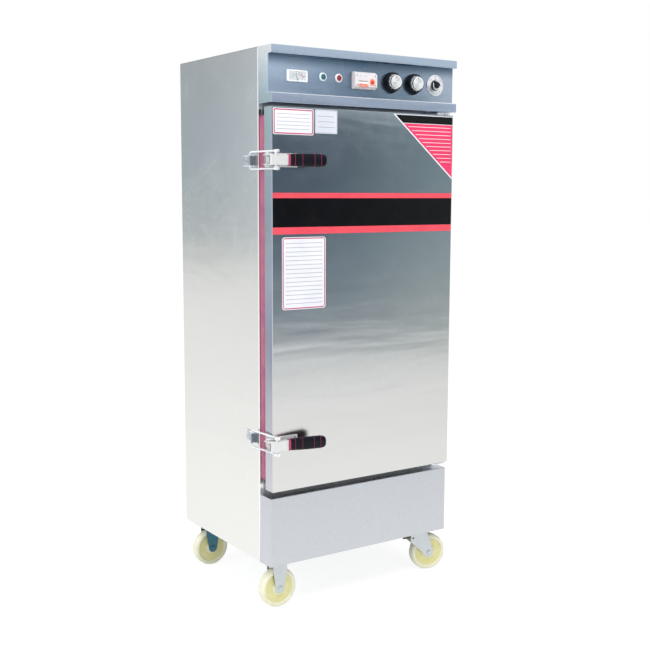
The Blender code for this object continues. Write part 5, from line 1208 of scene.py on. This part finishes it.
@dataclass
class Controls(Assembly):
    """Thermometer, lamps, breaker, knobs and selector in the housing's recess."""

    marks: MarkTree
    fasteners: FastenerTree
    rest_deg: float = 45.0
    lens_radius: float = 0.0083
    lens_dome: float = 0.0038
    toggle_lean_deg: float = 44.0
    toggle_barrel: float = 0.0055
    toggle_arm_x: float = 0.0088

    def build(self, frame: dict) -> None:
        """Make each control over its node."""
        self.thermometer(frame)
        # Each bezel's white is tinted with its lens's colour, which paints the lens's light on it.
        self.lamp("green_lamp", TEAL_LENS, "dff6fa")
        self.lamp("red_lamp", CRIMSON_LENS, "fbe9f0")
        self.breaker(frame)
        self.knob("timer_knob", "timer")
        self.knob("thermostat_knob", "thermostat")
        self.selector(frame)

    def thermometer(self, frame: dict) -> None:
        """Round the case, and set a scale with a needle in its window."""
        low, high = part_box("thermometer")
        case = rounded_copy(frame, "thermometer", "thermometer_case", 0.0008, Edges.ALL)
        settle(case, WHITE_CASE, "cabinet", "thermometer")
        face = low.y + 0.0015 - 0.0001
        card = rounded_outline((low.x + 0.0055, low.z + 0.0052), (high.x - 0.0055, high.z - 0.0052), 0.0015, 3)
        settle(upright_plate("thermometer_card", card, face, face - 0.0002), DIAL_CARD, "cabinet")
        middle = Vector(((low.x + high.x) / 2, face - 0.0004, low.z + 0.0005))
        self.marks.draw("thermometer_scale", "cabinet", GREY_CASE, middle, 0.0225, 35, 110, 21,
                        (0.0026, 0.0002, 0.0005))
        self.marks.draw("thermometer_long_marks", "cabinet", BLACK_CASE, middle, 0.0218, 35, 110, 6,
                        (0.0044, 0.0002, 0.0009))
        self.marks.draw("thermometer_hot_zone", "cabinet", BUTTON_RED, middle, 0.0255, 35, 24, 12,
                        (0.0010, 0.0002, 0.0012))
        needle = [(middle.x - 0.0011, middle.z + 0.0052), (middle.x + 0.0011, middle.z + 0.0052),
                  (middle.x - 0.0068, middle.z + 0.0215)]
        settle(upright_plate("thermometer_needle", needle, face - 0.0004, face - 0.0008), BLACK_CASE, "cabinet")
        hub = turned("thermometer_hub", [(0.0, 0.0), (0.0030, 0.0), (0.0030, -0.0006), (0.0022, -0.0011),
                                         (0.0, -0.0011)], (middle.x, face - 0.0002, middle.z + 0.0060), steps=24)
        settle(hub, GREY_CASE, "cabinet")
        for k, number in enumerate(("100", "80", "60", "40", "20", "0")):
            turn = math.radians(35 + 22 * k)
            spot = (middle.x + 0.0285 * math.cos(turn), face - 0.0002, middle.z + 0.0285 * math.sin(turn) - 0.0016)
            if abs(spot[0] - middle.x) < 0.027 and spot[2] < high.z - 0.006:
                self.numeral(f"thermometer_number_{number}", number, spot, 0.0038, BLACK_CASE, "cabinet")

    def numeral(self, name: str, text: str, spot: Point, size: float, finish: Finish, body: str) -> None:
        """Print a number that faces -Y.

        Args:
            name: The piece's name.
            text: The number.
            spot: Middle of its foot.
            size: Height of the type.
            finish: Its finish.
            body: The body that it moves with.
        """
        curve = bpy.data.curves.new(name, "FONT")
        curve.body, curve.size, curve.align_x, curve.extrude = text, size, "CENTER", 0.00008
        curve.resolution_u = 3
        font = linked(name, curve)
        mesh = plain_mesh(font)
        bpy.data.objects.remove(font)
        mesh.transform(Matrix.Translation(spot) @ Matrix.Rotation(math.pi / 2, 4, "X"))
        mesh.name = name
        settle(linked(name, mesh), finish, body)

    def lamp(self, node: str, lens: LensFinish, rim: str) -> None:
        """Turn a lamp's bezel, in a white tinted with painted lens light, and its domed lens."""
        low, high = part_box(node)
        centre = ((low.x + high.x) / 2, high.y, (low.z + high.z) / 2)
        out = (high.x - low.x) / 2
        bezel = [(0.0, 0.0), (out, 0.0), (out, -0.0022), (out - 0.0006, -0.0036), (out - 0.0022, -0.0052),
                 (out - 0.0034, -0.0055), (0.0088, -0.0050), (self.lens_radius, -0.0040), (0.0, -0.0040)]
        ring = MouldedFinish(node + "_bezel_white", "white_plastic", rim, "d4dfe8", roughness=0.22, coat=0.5)
        settle(turned(node + "_bezel", bezel, centre), ring, "cabinet", node)
        dome = [(self.lens_radius, -0.0040), (self.lens_radius, -0.0055)]
        for turn in (15, 30, 45, 60, 75):
            angle = math.radians(turn)
            dome.append((self.lens_radius * math.cos(angle), -0.0055 - self.lens_dome * math.sin(angle)))
        profile = [(0.0, -0.0040)] + dome + [(0.0, -0.0055 - self.lens_dome)]
        settle(turned(node + "_lens", profile, centre), lens, "cabinet")

    def breaker(self, frame: dict) -> None:
        """Round the case, and make the toggle, the button with its ring, the screws and the marks."""
        low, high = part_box("breaker_case")
        case = rounded_copy(frame, "breaker_case", "breaker_body", 0.0006, Edges.ALL, 2, merge=False)
        settle(case, BREAKER_CASE, "cabinet", "breaker_case")
        front = low.y
        spots = [((x, front, z), (0.0, -1.0, 0.0)) for x in (low.x + 0.0075, high.x - 0.0075)
                 for z in (low.z + 0.0115, high.z - 0.0115)]
        self.fasteners.scatter("breaker_screws", "cabinet", ZINC, spots, 0.0024, 0.0009, HeadKind.PAN, True)
        toggle_low, toggle_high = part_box("breaker_toggle")
        middle = (toggle_low.x + toggle_high.x) / 2
        marks_z = high.z - 0.0135
        for offset in (-0.008, 0.010):
            ring = [(0.0030, 0.0), (0.0030, -0.0002), (0.0024, -0.0002), (0.0024, 0.0)]
            spot = (middle + offset, front, marks_z)
            settle(turned(f"breaker_mark_{'a' if offset < 0 else 'b'}", ring, spot, steps=24, closed=True), GREY_CASE,
                   "cabinet")
        self.toggle(toggle_low, toggle_high)
        button_low, button_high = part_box("test_button")
        centre = ((button_low.x + button_high.x) / 2, front, (button_low.z + button_high.z) / 2)
        ring = [(0.0059, 0.0), (0.0108, 0.0), (0.0108, -0.0004), (0.0100, -0.0010), (0.0068, -0.0010),
                (0.0059, -0.0004)]
        settle(turned("test_button_ring", ring, centre, closed=True), BUTTON_RING, "cabinet")
        proud = front - button_low.y
        cap = [(0.0, 0.0062), (0.0050, 0.0062), (0.0050, 0.0008 - proud), (0.0046, 0.0002 - proud),
               (0.0040, -proud), (0.0, 0.0005 - proud)]
        settle(turned("test_button_cap", cap, centre, steps=36), BUTTON_RED, "button", "test_button")

    def toggle(self, low: Vector, high: Vector) -> None:
        """Make the toggle: a white barrel in the slot, two tapered arms on it and the bar that ties them."""
        radius = self.toggle_barrel
        axis = Vector(((low.x + high.x) / 2, high.y - radius, high.z - radius))
        lean = math.radians(180 + self.toggle_lean_deg)
        out = Vector((0.0, math.cos(lean), math.sin(lean)))
        up = Vector((0.0, -out.z, out.y))
        half = (high.x - low.x) / 2
        barrel = [(0.0, -half), (radius, -half), (radius, half), (0.0, half)]
        settle(turned("toggle_barrel", barrel, axis, Axis.X, 36), WHITE_CASE, "toggle", "breaker_toggle")

        def slab(reach: float, half_x: float, half_up: float, middle: float, corner: float) -> list[Vector]:
            """Return one rounded section of an arm or of the bar, at a reach from the barrel's axis."""
            outline = rounded_outline((-half_x, -half_up), (half_x, half_up), corner, 4)
            return [axis + out * reach + Vector((middle + a, 0.0, 0.0)) + up * b for a, b in outline]

        for k, middle in enumerate((-self.toggle_arm_x, self.toggle_arm_x)):
            plan = ((0.0030, 0.0016, 0.0026, 0.0010), (0.0060, 0.0024, 0.0030, 0.0012),
                    (0.0116, 0.0066, 0.0026, 0.0012))
            arm = [slab(reach, wide, tall, middle, corner) for reach, wide, tall, corner in plan]
            settle(loft(f"toggle_arm_{k}", arm, angle=45.0), BUTTON_RED, "toggle")
        plan = ((0.0108, half * 0.86, 0.0020, 0.0012), (0.0114, half, 0.0028, 0.0018), (0.0144, half, 0.0028, 0.0018),
                (0.0154, half * 0.93, 0.0020, 0.0014))
        bar = [slab(reach, wide, tall, 0.0, corner) for reach, wide, tall, corner in plan]
        settle(loft("toggle_bar", bar, angle=45.0), ORANGE_CASE, "toggle")

    def knob(self, node: str, body: str) -> None:
        """Make a fluted black skirt round a spun cap with a pointer line."""
        low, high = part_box(node)
        x, z = (low.x + high.x) / 2, (low.z + high.z) / 2
        out = (high.x - low.x) / 2
        back, skirt = high.y - 0.012, 0.019
        front = back - skirt
        rings = []
        plan = ((0.80, 0.0), (0.94, 0.0), (1.0, 0.0006), (1.0, 0.0040), (0.985, 0.0060), (0.94, 0.0160),
                (0.92, 0.0178), (0.86, 0.0190), (0.72, 0.0190))
        count = 144
        for share, along in plan:
            flute = 0.0014 if 0.0045 < along < 0.0182 else 0.0
            ring = []
            for k in range(count):
                turn = math.tau * k / count
                ripple = max(0.0, math.cos(turn * 18)) ** 0.5 * flute
                point = 0.0042 * math.exp(-(((k - 0.75 * count) / 5.0) ** 2)) if along < 0.0185 else 0.0
                reach = out * share - ripple + point
                ring.append(Vector((x + reach * math.cos(turn), back - along, z + reach * math.sin(turn))))
            rings.append(ring)
        settle(loft(node + "_skirt", rings, angle=40.0), BLACK_CASE, body, node)
        crown = low.y - front
        cap = [(0.0, 0.0010), (0.0225, 0.0010), (0.0225, -0.0008), (0.0213, -0.0014), (0.0208, crown + 0.0020),
               (0.0202, crown + 0.0007), (0.0190, crown), (0.0150, crown), (0.0146, crown + 0.0005),
               (0.0, crown + 0.0005)]
        spun = SpunFinish(node + "_spun_cap", "bright_trim", (x, z))
        settle(turned(node + "_cap", cap, (x, front, z), steps=64), spun, body)
        shaft = [(0.0, high.y - front), (0.003, high.y - front), (0.003, 0.0), (0.0, 0.0)]
        settle(turned(node + "_shaft", shaft, (x, front, z), steps=20), ZINC, body)
        pointer = rounded_outline((x - 0.0007, z + 0.0120), (x + 0.0007, z + 0.0186), 0.0006, 3)
        settle(upright_plate(node + "_pointer", pointer, low.y + 0.0004, low.y - 0.0001), BLACK_CASE, body)
        spot = (x, front - 0.0001, z)
        self.marks.draw(node + "_marks", body, WHITE_CASE, spot, 0.0248, 120, 300, 11, (0.0026, 0.0002, 0.0008))

    def selector(self, frame: dict) -> None:
        """Make the selector's plate with its raised rim and marks, its silver ring and its finger knob."""
        low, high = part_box("selector_plate")
        x, z = (low.x + high.x) / 2, (low.z + high.z) / 2
        out, back = (high.x - low.x) / 2, high.y
        profile = [(0.0036, 0.0), (out, 0.0), (out, -0.0012), (out - 0.0006, -0.0024), (out - 0.0018, -0.0030),
                   (out - 0.0034, -0.0028), (out - 0.0042, -0.0020), (0.0250, -0.0020), (0.0240, -0.0026),
                   (0.0036, -0.0026)]
        spun = SpunFinish("selector_plate_spun", "bright_trim", (x, z), bright="f6f7f9", dull="cdd3da", pitch=0.0016)
        settle(turned("selector_dial", profile, (x, back, z), steps=72, closed=True), spun, "cabinet", "selector_plate")
        seam = rounded_outline((x - 0.0255, z + 0.0145), (x + 0.0255, z + 0.0153), 0.0003, 2)
        settle(upright_plate("selector_seam", seam, back - 0.0020, back - 0.0027), GREY_CASE, "cabinet")
        face = (x, back - 0.0027, z)
        self.marks.draw("selector_marks", "cabinet", BLACK_CASE, face, 0.0272, -45, 180, 5, (0.0034, 0.0002, 0.0009))
        self.numeral("selector_number_0", "0", (x, back - 0.0027, z + 0.0182), 0.0066, BLACK_CASE, "cabinet")
        knob_low, knob_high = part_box("selector_knob")
        base = knob_high.y - 0.012
        front = knob_low.y
        disc = [(0.0, 0.0), (0.0168, 0.0), (0.0174, -0.0006), (0.0174, -0.0060), (0.0166, -0.0070), (0.0, -0.0070)]
        settle(turned("selector_disc", disc, (x, base, z), steps=56), BLACK_CASE, "selector", "selector_knob")
        ring = [(0.0098, -0.0068), (0.0164, -0.0068), (0.0160, -0.0082), (0.0150, -0.0088), (0.0112, -0.0088),
                (0.0098, -0.0080)]
        settle(turned("selector_ring", ring, (x, base, z), steps=56, closed=True), CHROME, "selector")
        core = [(0.0, -0.0068), (0.0098, -0.0068), (0.0094, -0.0120), (0.0080, front - base + 0.0006),
                (0.0, front - base + 0.0004)]
        settle(turned("selector_core", core, (x, base, z), steps=48), BLACK_CASE, "selector")
        shaft = [(0.0, 0.012), (0.003, 0.012), (0.003, 0.0), (0.0, 0.0)]
        settle(turned("selector_shaft", shaft, (x, base, z), steps=20), ZINC, "selector")
        rings = []
        turn = Matrix.Rotation(math.radians(-self.rest_deg), 3, "Y")
        for share, y in ((1.06, base - 0.0080), (1.0, base - 0.0100), (0.92, front + 0.0008), (0.84, front)):
            outline = rounded_outline((-0.0046 * share, -0.0088 * share), (0.0046 * share, 0.0158 * share),
                                      0.0036 * share, 5)
            rings.append([Vector((x, y, z)) + turn @ Vector((a, 0.0, b)) for a, b in outline])
        settle(loft("selector_finger_bar", rings, angle=40.0), BLACK_CASE, "selector")
        line = [(-0.0006, -0.0128), (0.0006, -0.0128), (0.0006, -0.0030), (-0.0006, -0.0030)]
        rings = [[Vector((x, y, z)) + turn @ Vector((a, 0.0, b)) for a, b in line]
                 for y in (front + 0.0002, front - 0.0001)]
        settle(loft("selector_pointer", rings), WHITE_CASE, "selector")


@dataclass
class Latch(Assembly):
    """One over-centre latch: base, lever, grip with rings, bail and catch."""

    side: str
    fasteners: FastenerTree
    tilt_deg: float = -11.3
    rings: tuple[float, ...] = (0.17, 0.36, 0.67, 0.84)
    grip_length: float = 0.124
    grip_tall: float = 0.0195
    grip_thick: float = 0.0115
    rivet: tuple[float, float] = (0.0034, 0.0014)

    def build(self, frame: dict) -> None:
        """Make the latch's pieces."""
        side = self.side
        copies = (
            ("base", "door", SATIN, 0.0005), ("lever", side + "_lever", SATIN, 0.0007),
            ("bail", side + "_bail", WIRE, 0.0004), ("catch", "cabinet", CATCH_STEEL, 0.0006),
        )
        for part, body, finish, radius in copies:
            node = f"{side}_latch_{part}"
            settle_copy(frame, node, f"{side}_{part}_plated", radius, finish, body)
        self.rivets()
        self.nose()
        self.grip()

    def nose(self) -> None:
        """Close the lever's left end with its rounded nose, and lay a black plate as painted shade over its upright
        slot.
        """
        low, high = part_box(f"{self.side}_latch_lever")
        middle, radius = (low.z + high.z) / 2, (high.z - low.z) / 2 - 0.0002
        centre, right = low.x + radius, low.x + 0.0234
        outer = [(centre - radius * math.sin(math.pi * k / 16), middle + radius * math.cos(math.pi * k / 16))
                 for k in range(17)]
        outer = [(right, middle + radius)] + outer + [(right, middle - radius)]
        slot_left, slot_right, tall = low.x + 0.0062, low.x + 0.0150, 0.0088
        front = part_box(f"{self.side}_latch_bail")[0].y + 0.0128
        slot = rounded_outline((slot_left, middle - tall), (slot_right, middle + tall), 0.0030, 4)
        plate = upright_plate(f"{self.side}_lever_nose", outer, front + 0.0012, front)
        settle(plate, SATIN, f"{self.side}_lever")
        # A black plate stands for the shade inside the slot.
        dark = upright_plate(f"{self.side}_lever_slot_painted_shade", slot, front + 0.0001, front - 0.0003)
        settle(dark, BLACK_CASE, f"{self.side}_lever")

    def rivets(self) -> None:
        """Rivet the base to the door and the catch to the side."""
        low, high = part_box(f"{self.side}_latch_base")
        middle = (low.z + high.z) / 2
        door_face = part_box("door_skin")[0].y - 0.0033
        spots = [((high.x - 0.011, door_face, middle + off), (0.0, -1.0, 0.0)) for off in (-0.013, 0.013)]
        self.fasteners.scatter(f"{self.side}_base_rivets", "door", BRIGHT, spots, *self.rivet)
        low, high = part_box(f"{self.side}_latch_catch")
        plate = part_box("left_side_panel")[0].x - 0.0033
        spots = [((plate, high.y - along, middle + off), (-1.0, 0.0, 0.0))
                 for along, off in ((0.010, -0.008), (0.010, 0.008), (0.032, 0.0))]
        self.fasteners.scatter(f"{self.side}_catch_rivets", "cabinet", BRIGHT, spots, *self.rivet)
        # Beads for the flanges along the catch's top and bottom edges, in a brighter finish than the catch, which
        # paints the highlights on those edges.
        for k, off in enumerate((-0.0150, 0.0150)):
            bead = [(0.0, 0.0), (0.0013, 0.0004), (0.0016, 0.002), (0.0016, 0.063), (0.0010, 0.0657), (0.0, 0.066)]
            spot = (plate - 0.0002, high.y - 0.0590, middle + off)
            settle(turned(f"{self.side}_catch_bead_{k}", bead, spot, Axis.Y, 12), WIRE, "cabinet")

    def grip(self) -> None:
        """Make the oval grip with its moulded rings and the washer at the lever."""
        node = f"{self.side}_latch_grip"
        low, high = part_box(node)
        tilt = math.radians(self.tilt_deg)
        along = Vector((math.cos(tilt), math.sin(tilt), 0.0))
        across = Vector((-along.y, along.x, 0.0))
        start = Vector((low.x, high.y - 0.0100, (low.z + high.z) / 2))
        stations = [(0.0, 0.80), (0.02, 0.88), (0.06, 0.90), (0.12, 0.92), (0.21, 0.95), (0.30, 0.98), (0.40, 0.99),
                    (0.50, 1.0), (0.62, 1.0), (0.72, 1.0), (0.80, 0.99), (0.86, 0.98), (0.91, 0.94), (0.95, 0.87),
                    (0.975, 0.76), (0.99, 0.62), (1.0, 0.40)]

        def section(share: float, swell: float, extra: float = 0.0) -> list[Vector]:
            """Return one oval ring of the grip, grown by a little."""
            ring = []
            for k in range(40):
                turn = math.tau * k / 40
                c, s = math.cos(turn), math.sin(turn)
                squash = (abs(c) ** 3 + abs(s) ** 3) ** (-1 / 3)
                up = (self.grip_tall * swell + extra) * squash * s
                side = (self.grip_thick * swell + extra) * squash * c
                point = start + along * (share * self.grip_length) + across * side + Vector((0.0, 0.0, up))
                if share == 0.0:
                    point.x = start.x
                ring.append(point)
            return ring

        body = loft(f"{self.side}_grip_bar", [section(*station) for station in stations], angle=60.0)
        settle(body, BLACK_GRIP, f"{self.side}_lever", node)
        for k, share in enumerate(self.rings):
            swell = 0.92 + 0.08 * min(share, 0.5) / 0.5
            half = 0.0055
            plan = ((share - half, -0.0006), (share - half * 0.5, 0.0007), (share + half * 0.5, 0.0007),
                    (share + half, -0.0006))
            ring = loft(f"{self.side}_grip_ring_{k}", [section(s, swell, extra) for s, extra in plan], angle=60.0)
            settle(ring, RING_INK, f"{self.side}_lever")
        plan = ((0.004, 0.0008), (0.010, 0.0016), (0.045, 0.0016), (0.055, 0.0006))
        washer = loft(f"{self.side}_grip_washer", [section(s, 0.85, extra) for s, extra in plan], angle=60.0)
        settle(washer, PINK_RING, f"{self.side}_lever")


class CasterKind(Enum):
    """Whether a caster's fork is fixed or swivels, with its turn at rest in degrees."""

    FIXED = 0.0
    FRONT_SWIVEL = -14.0
    REAR_SWIVEL = 9.0


@dataclass
class Caster(Assembly):
    """One caster: fork, plate, brake where it has one, and a moulded wheel with its bearing."""

    corner: str
    kind: CasterKind
    fasteners: FastenerTree
    radius: float = 0.0625
    width: float = 0.032

    def build(self, frame: dict) -> None:
        """Make the caster's pieces."""
        fork_body = "cabinet" if self.kind is CasterKind.FIXED else self.corner + "_swivel"
        plate_node = self.corner + "_fork"
        # The rear left fork takes the painted-shade copy of the plating.
        fork_finish = SHADED_FORK_ZINC if self.corner == "rear_left" else FORK_ZINC
        settle_copy(frame, plate_node, plate_node + "_plated", 0.0006, fork_finish, fork_body)
        if self.kind is not CasterKind.FIXED:
            plate_node = self.corner + "_top_plate"
            settle_copy(frame, plate_node, plate_node + "_plated", 0.0005, FORK_ZINC, "cabinet")
            pedal = self.corner + "_pedal"
            settle_copy(frame, self.corner + "_brake", pedal, 0.0007, OLIVE_PAINT, pedal)
        self.bolts(plate_node)
        self.wheel()

    def bolts(self, node: str) -> None:
        """Bolt the top plate to the base from below."""
        low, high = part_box(node)
        drop = high.z - 0.0025
        spots = [((x, y, drop), (0.0, 0.0, -1.0)) for x in (low.x + 0.008, high.x - 0.008)
                 for y in (low.y + 0.008, high.y - 0.008)]
        self.fasteners.scatter(self.corner + "_plate_bolts", "cabinet", BRIGHT, spots, 0.0055, 0.0035, HeadKind.HEX)

    def wheel(self) -> None:
        """Turn the tyre, its pale rim rings, hub ring and bearing caps, all on the roller."""
        node = self.corner + "_wheel"
        low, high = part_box(node)
        centre = Vector(((low.x + high.x) / 2, (low.y + high.y) / 2, self.radius))
        spin = Matrix.Rotation(math.radians(self.kind.value), 4, "Z")
        r, w = self.radius, self.width / 2
        half = [(0.0053, 0.0180), (0.0165, 0.0180), (0.0172, 0.0172), (0.0180, 0.0125), (0.0200, 0.0115),
                (0.0215, 0.0120), (0.0225, 0.0114), (0.0475, 0.0114), (0.0486, 0.0122), (0.0496, 0.0150),
                (0.0506, w - 0.0002), (0.0516, w), (r - 0.0062, w), (r - 0.0052, w - 0.0010), (r - 0.0044, w - 0.0008),
                (r - 0.0022, w - 0.0022), (r - 0.0008, w - 0.0042), (r, w - 0.0075), (r, 0.0)]
        profile = half + [(radius, -along) for radius, along in reversed(half[:-1])]
        body = self.corner + "_roller"
        tyre = turned(self.corner + "_tyre", profile, centre, steps=72, spin=spin, closed=True)
        settle(tyre, PALE_NYLON, body, node)
        rings = (
            ("web", NYLON, 72, ((0.0228, 0.0110), (0.0232, 0.0119), (0.0470, 0.0119), (0.0474, 0.0110))),
            ("rim", PALE_NYLON, 72, ((0.0518, w - 0.0004), (0.0520, w + 0.0003), (0.0546, w + 0.0003),
                                     (0.0549, w - 0.0004))),
            ("hub_ring", PALE_NYLON, 60, ((0.0188, 0.0112), (0.0194, 0.0134), (0.0222, 0.0134), (0.0230, 0.0112))),
            ("bearing", ZINC, 48, ((0.0060, 0.0176), (0.0066, 0.0184), (0.0132, 0.0184), (0.0140, 0.0176))),
        )
        for side, way in (("outer", -1.0), ("inner", 1.0)):
            for part, finish, steps, section in rings:
                profile = [(reach, along * way) for reach, along in section]
                ring = turned(f"{self.corner}_{side}_{part}", profile, centre, steps=steps, spin=spin, closed=True)
                settle(ring, finish, body)


@dataclass
class Hinges(Assembly):
    """The two hinge brackets with their pins."""

    def build(self, frame: dict) -> None:
        """Round and plate each bracket."""
        for side in ("upper", "lower"):
            node = f"{side}_hinge_bracket"
            settle_copy(frame, node, f"{side}_hinge_plated", 0.0006, BRIGHT, "cabinet")


@dataclass
class BackFittings(Assembly):
    """Pipes and gland on the back, with the screws that hold the back sheet."""

    fasteners: FastenerTree

    def build(self, frame: dict) -> None:
        """Round and dress each fitting, and screw the back on."""
        fittings = (
            ("drain_valve", "drain_valve_body", BRASS, "cabinet"), ("water_inlet", "inlet_spigot", BRASS, "cabinet"),
            ("vent_pipe", "steam_vent", TRAY_SHEET, "cabinet"), ("cable_gland", "gland_nut", BLACK_CASE, "cabinet"),
            ("drain_lever", "drain_handle", RED_PAINT, "drain"),
        )
        for node, name, finish, body in fittings:
            settle_copy(frame, node, name, 0.0005, finish, body)
        low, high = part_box("back_panel")
        spots = []
        for k in range(8):
            z = low.z + 0.03 + (high.z - low.z - 0.06) * k / 7
            spots += [((x, high.y, z), (0.0, 1.0, 0.0)) for x in (low.x + 0.010, high.x - 0.010)]
        for k in range(1, 4):
            x = low.x + (high.x - low.x) * k / 4
            spots += [((x, high.y, z), (0.0, 1.0, 0.0)) for z in (low.z + 0.012, high.z - 0.012)]
        self.fasteners.scatter("back_screws", "cabinet", BRIGHT, spots, 0.0042, 0.0022, HeadKind.PAN, True)


@dataclass
class Studio:
    """Floor, dark cards for the sheets to mirror, lamps, world and camera."""

    eye: Point = (-1.9423, -2.9769, 1.305)
    yaw_deg: float = 56.23
    pitch_deg: float = 7.241
    roll_deg: float = 0.177
    focal_px: float = 1042.5
    ambient: float = 0.62
    floor_glow: float = 1.3
    floor_share: float = 0.62
    card_fade: tuple[float, float] = (1.1, 2.15)
    dark_tones: tuple[tuple[float, str], ...] = (
        (0.0, "ffffff"), (0.05, "ffffff"), (0.08, "9aa4ac"), (0.3, "9aa4ac"), (0.62, "6f7882"), (1.0, "6c7580")
    )
    grey_tones: tuple[tuple[float, str], ...] = (
        (0.0, "ffffff"), (0.02, "ffffff"), (0.06, "b4babb"), (0.5, "b0b9bd"), (1.0, "aeb2b3")
    )

    def build(self) -> None:
        """Set the stage round the object."""
        self.world()
        self.floor()
        self.cards()
        self.lamps()
        self.camera()
        bpy.context.scene.view_settings.view_transform = "Standard"

    def seen_share(self, tree: bpy.types.NodeTree) -> bpy.types.NodeSocket:
        """Return 1 for rays that show the background to the eye, directly, in metal or through glass."""
        path = put(tree, "ShaderNodeLightPath").outputs
        either = math_node(tree, "MAXIMUM", path["Is Camera Ray"], path["Is Glossy Ray"])
        return math_node(tree, "MAXIMUM", either, path["Is Transmission Ray"])

    def world(self) -> None:
        """Make a white background over a plain, even light."""
        world = bpy.data.worlds.new("studio")
        bpy.context.scene.world = world
        world.use_nodes = True
        tree = world.node_tree
        tree.nodes.clear()
        light = put(tree, "ShaderNodeBackground", {"Color": (1.0, 1.0, 1.0, 1.0), "Strength": self.ambient})
        white = put(tree, "ShaderNodeBackground", {"Color": (1.0, 1.0, 1.0, 1.0), "Strength": 1.0})
        mix = put(tree, "ShaderNodeMixShader", {0: self.seen_share(tree), 1: light.outputs[0], 2: white.outputs[0]})
        put(tree, "ShaderNodeOutputWorld", {"Surface": mix.outputs[0]})

    def floor(self) -> None:
        """Lay a pale floor that keeps a soft shadow."""
        shape = bmesh.new()
        bmesh.ops.create_grid(shape, x_segments=1, y_segments=1, size=30.0)
        floor = new_object("floor", shape)
        paint = blank_material("pale_floor")
        tree = paint.node_tree
        matt = put(tree, "ShaderNodeBsdfDiffuse", {"Color": (0.93, 0.93, 0.93, 1.0)})
        white = put(tree, "ShaderNodeEmission", {"Color": (1.0, 1.0, 1.0, 1.0), "Strength": self.floor_glow})
        share = math_node(tree, "MULTIPLY", self.seen_share(tree), self.floor_share)
        mix = put(tree, "ShaderNodeMixShader", {0: share, 1: matt.outputs[0], 2: white.outputs[0]})
        put(tree, "ShaderNodeOutputMaterial", {"Surface": mix.outputs[0]})
        floor.data.materials.append(paint)

    def cards(self) -> None:
        """Stand grey cards where the upper door and side mirror them; no camera ray sees them."""
        plan = (
            ("door_card", (0.2, -2.35, 0.40), (2.8, -2.35, 1.762), self.dark_tones, (0.40, 1.76)),
            ("side_card", (-2.0, 2.70, 0.78), (-2.0, 4.6, 2.60), self.grey_tones, (0.78, 2.38)),
        )
        for name, low, high, tones, heights in plan:
            shape = bmesh.new()
            corners = ((low[0], low[1], low[2]), (high[0], high[1], low[2]), (high[0], high[1], high[2]),
                       (low[0], low[1], high[2]))
            shape.faces.new([shape.verts.new(corner) for corner in corners])
            card = new_object(name, shape)
            paint = blank_material(name + "_tone")
            tree = paint.node_tree
            values = {"Low": heights[0], "High": heights[1], "Drift": 0.12, "Cloud Size": (1.6, 1.6, 5.0)}
            tone = EffectGroups.use(tree, "drifting_tone", values)
            right = span(tree, object_parts(tree)["X"], *self.card_fade, top=0.75, interpolation_type="SMOOTHSTEP")
            toned = mixed(tree, right, tone_ramp(tree, tone.outputs["Tone"], tones), linear("c4cecb"))
            glow = put(tree, "ShaderNodeEmission", {"Color": toned})
            put(tree, "ShaderNodeOutputMaterial", {"Surface": glow.outputs[0]})
            card.data.materials.append(paint)
            for ray in ("camera", "diffuse", "shadow", "transmission", "volume_scatter"):
                setattr(card, "visible_" + ray, False)

    def lamps(self) -> None:
        """Hang soft lamps above and in front."""
        plan = (
            ("top_lamp", (-0.6, -1.2, 3.6), (0.0, 0.0, 1.0), 2.6, 62.0),
            ("left_lamp", (-3.4, -0.6, 2.2), (0.0, 0.0, 0.9), 2.4, 46.0),
            ("front_lamp", (0.6, -4.2, 1.9), (0.0, 0.0, 0.9), 2.4, 26.0),
        )
        for name, place, target, size, power in plan:
            lamp = bpy.data.lights.new(name, "AREA")
            lamp.shape, lamp.size, lamp.energy = "DISK", size, power
            holder = linked(name, lamp)
            holder.location = place
            holder.rotation_euler = (Vector(target) - Vector(place)).to_track_quat("-Z", "Y").to_euler()
            holder.visible_glossy = False

    def camera(self) -> None:
        """Set the camera where the picture was taken from."""
        lens = bpy.data.cameras.new("camera")
        lens.sensor_width = 36.0
        lens.sensor_fit = "HORIZONTAL"
        lens.lens = self.focal_px / FRAME_PIXELS[0] * lens.sensor_width
        holder = linked("camera", lens)
        yaw, pitch = math.radians(self.yaw_deg), math.radians(self.pitch_deg)
        way = Vector((math.cos(yaw) * math.cos(pitch), math.sin(yaw) * math.cos(pitch), -math.sin(pitch)))
        turn = way.to_track_quat("-Z", "Y").to_matrix() @ Matrix.Rotation(math.radians(self.roll_deg), 3, "Z")
        holder.matrix_world = Matrix.Translation(self.eye) @ turn.to_4x4()
        bpy.context.scene.camera = holder


def main() -> None:
    """Build every group in order."""
    logging.basicConfig(level=logging.INFO, format="%(message)s")
    for item in list(bpy.data.objects):
        bpy.data.objects.remove(item, do_unlink=True)
    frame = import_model()
    fasteners, marks = FastenerTree(), MarkTree()
    groups: list[Assembly] = [
        SheetMetal(), DoorGasket(), DoorPrints(), Controls(marks, fasteners), Latch("upper", fasteners),
        Latch("lower", fasteners), Caster("front_left", CasterKind.FIXED, fasteners),
        Caster("rear_left", CasterKind.FIXED, fasteners),
        Caster("front_right", CasterKind.FRONT_SWIVEL, fasteners),
        Caster("rear_right", CasterKind.REAR_SWIVEL, fasteners), Hinges(), BackFittings(fasteners),
    ]
    for group in groups:
        LOG.info("building %s", type(group).__name__)
        group.build(frame)
    Studio().build()


if __name__ == "__main__":
    main()
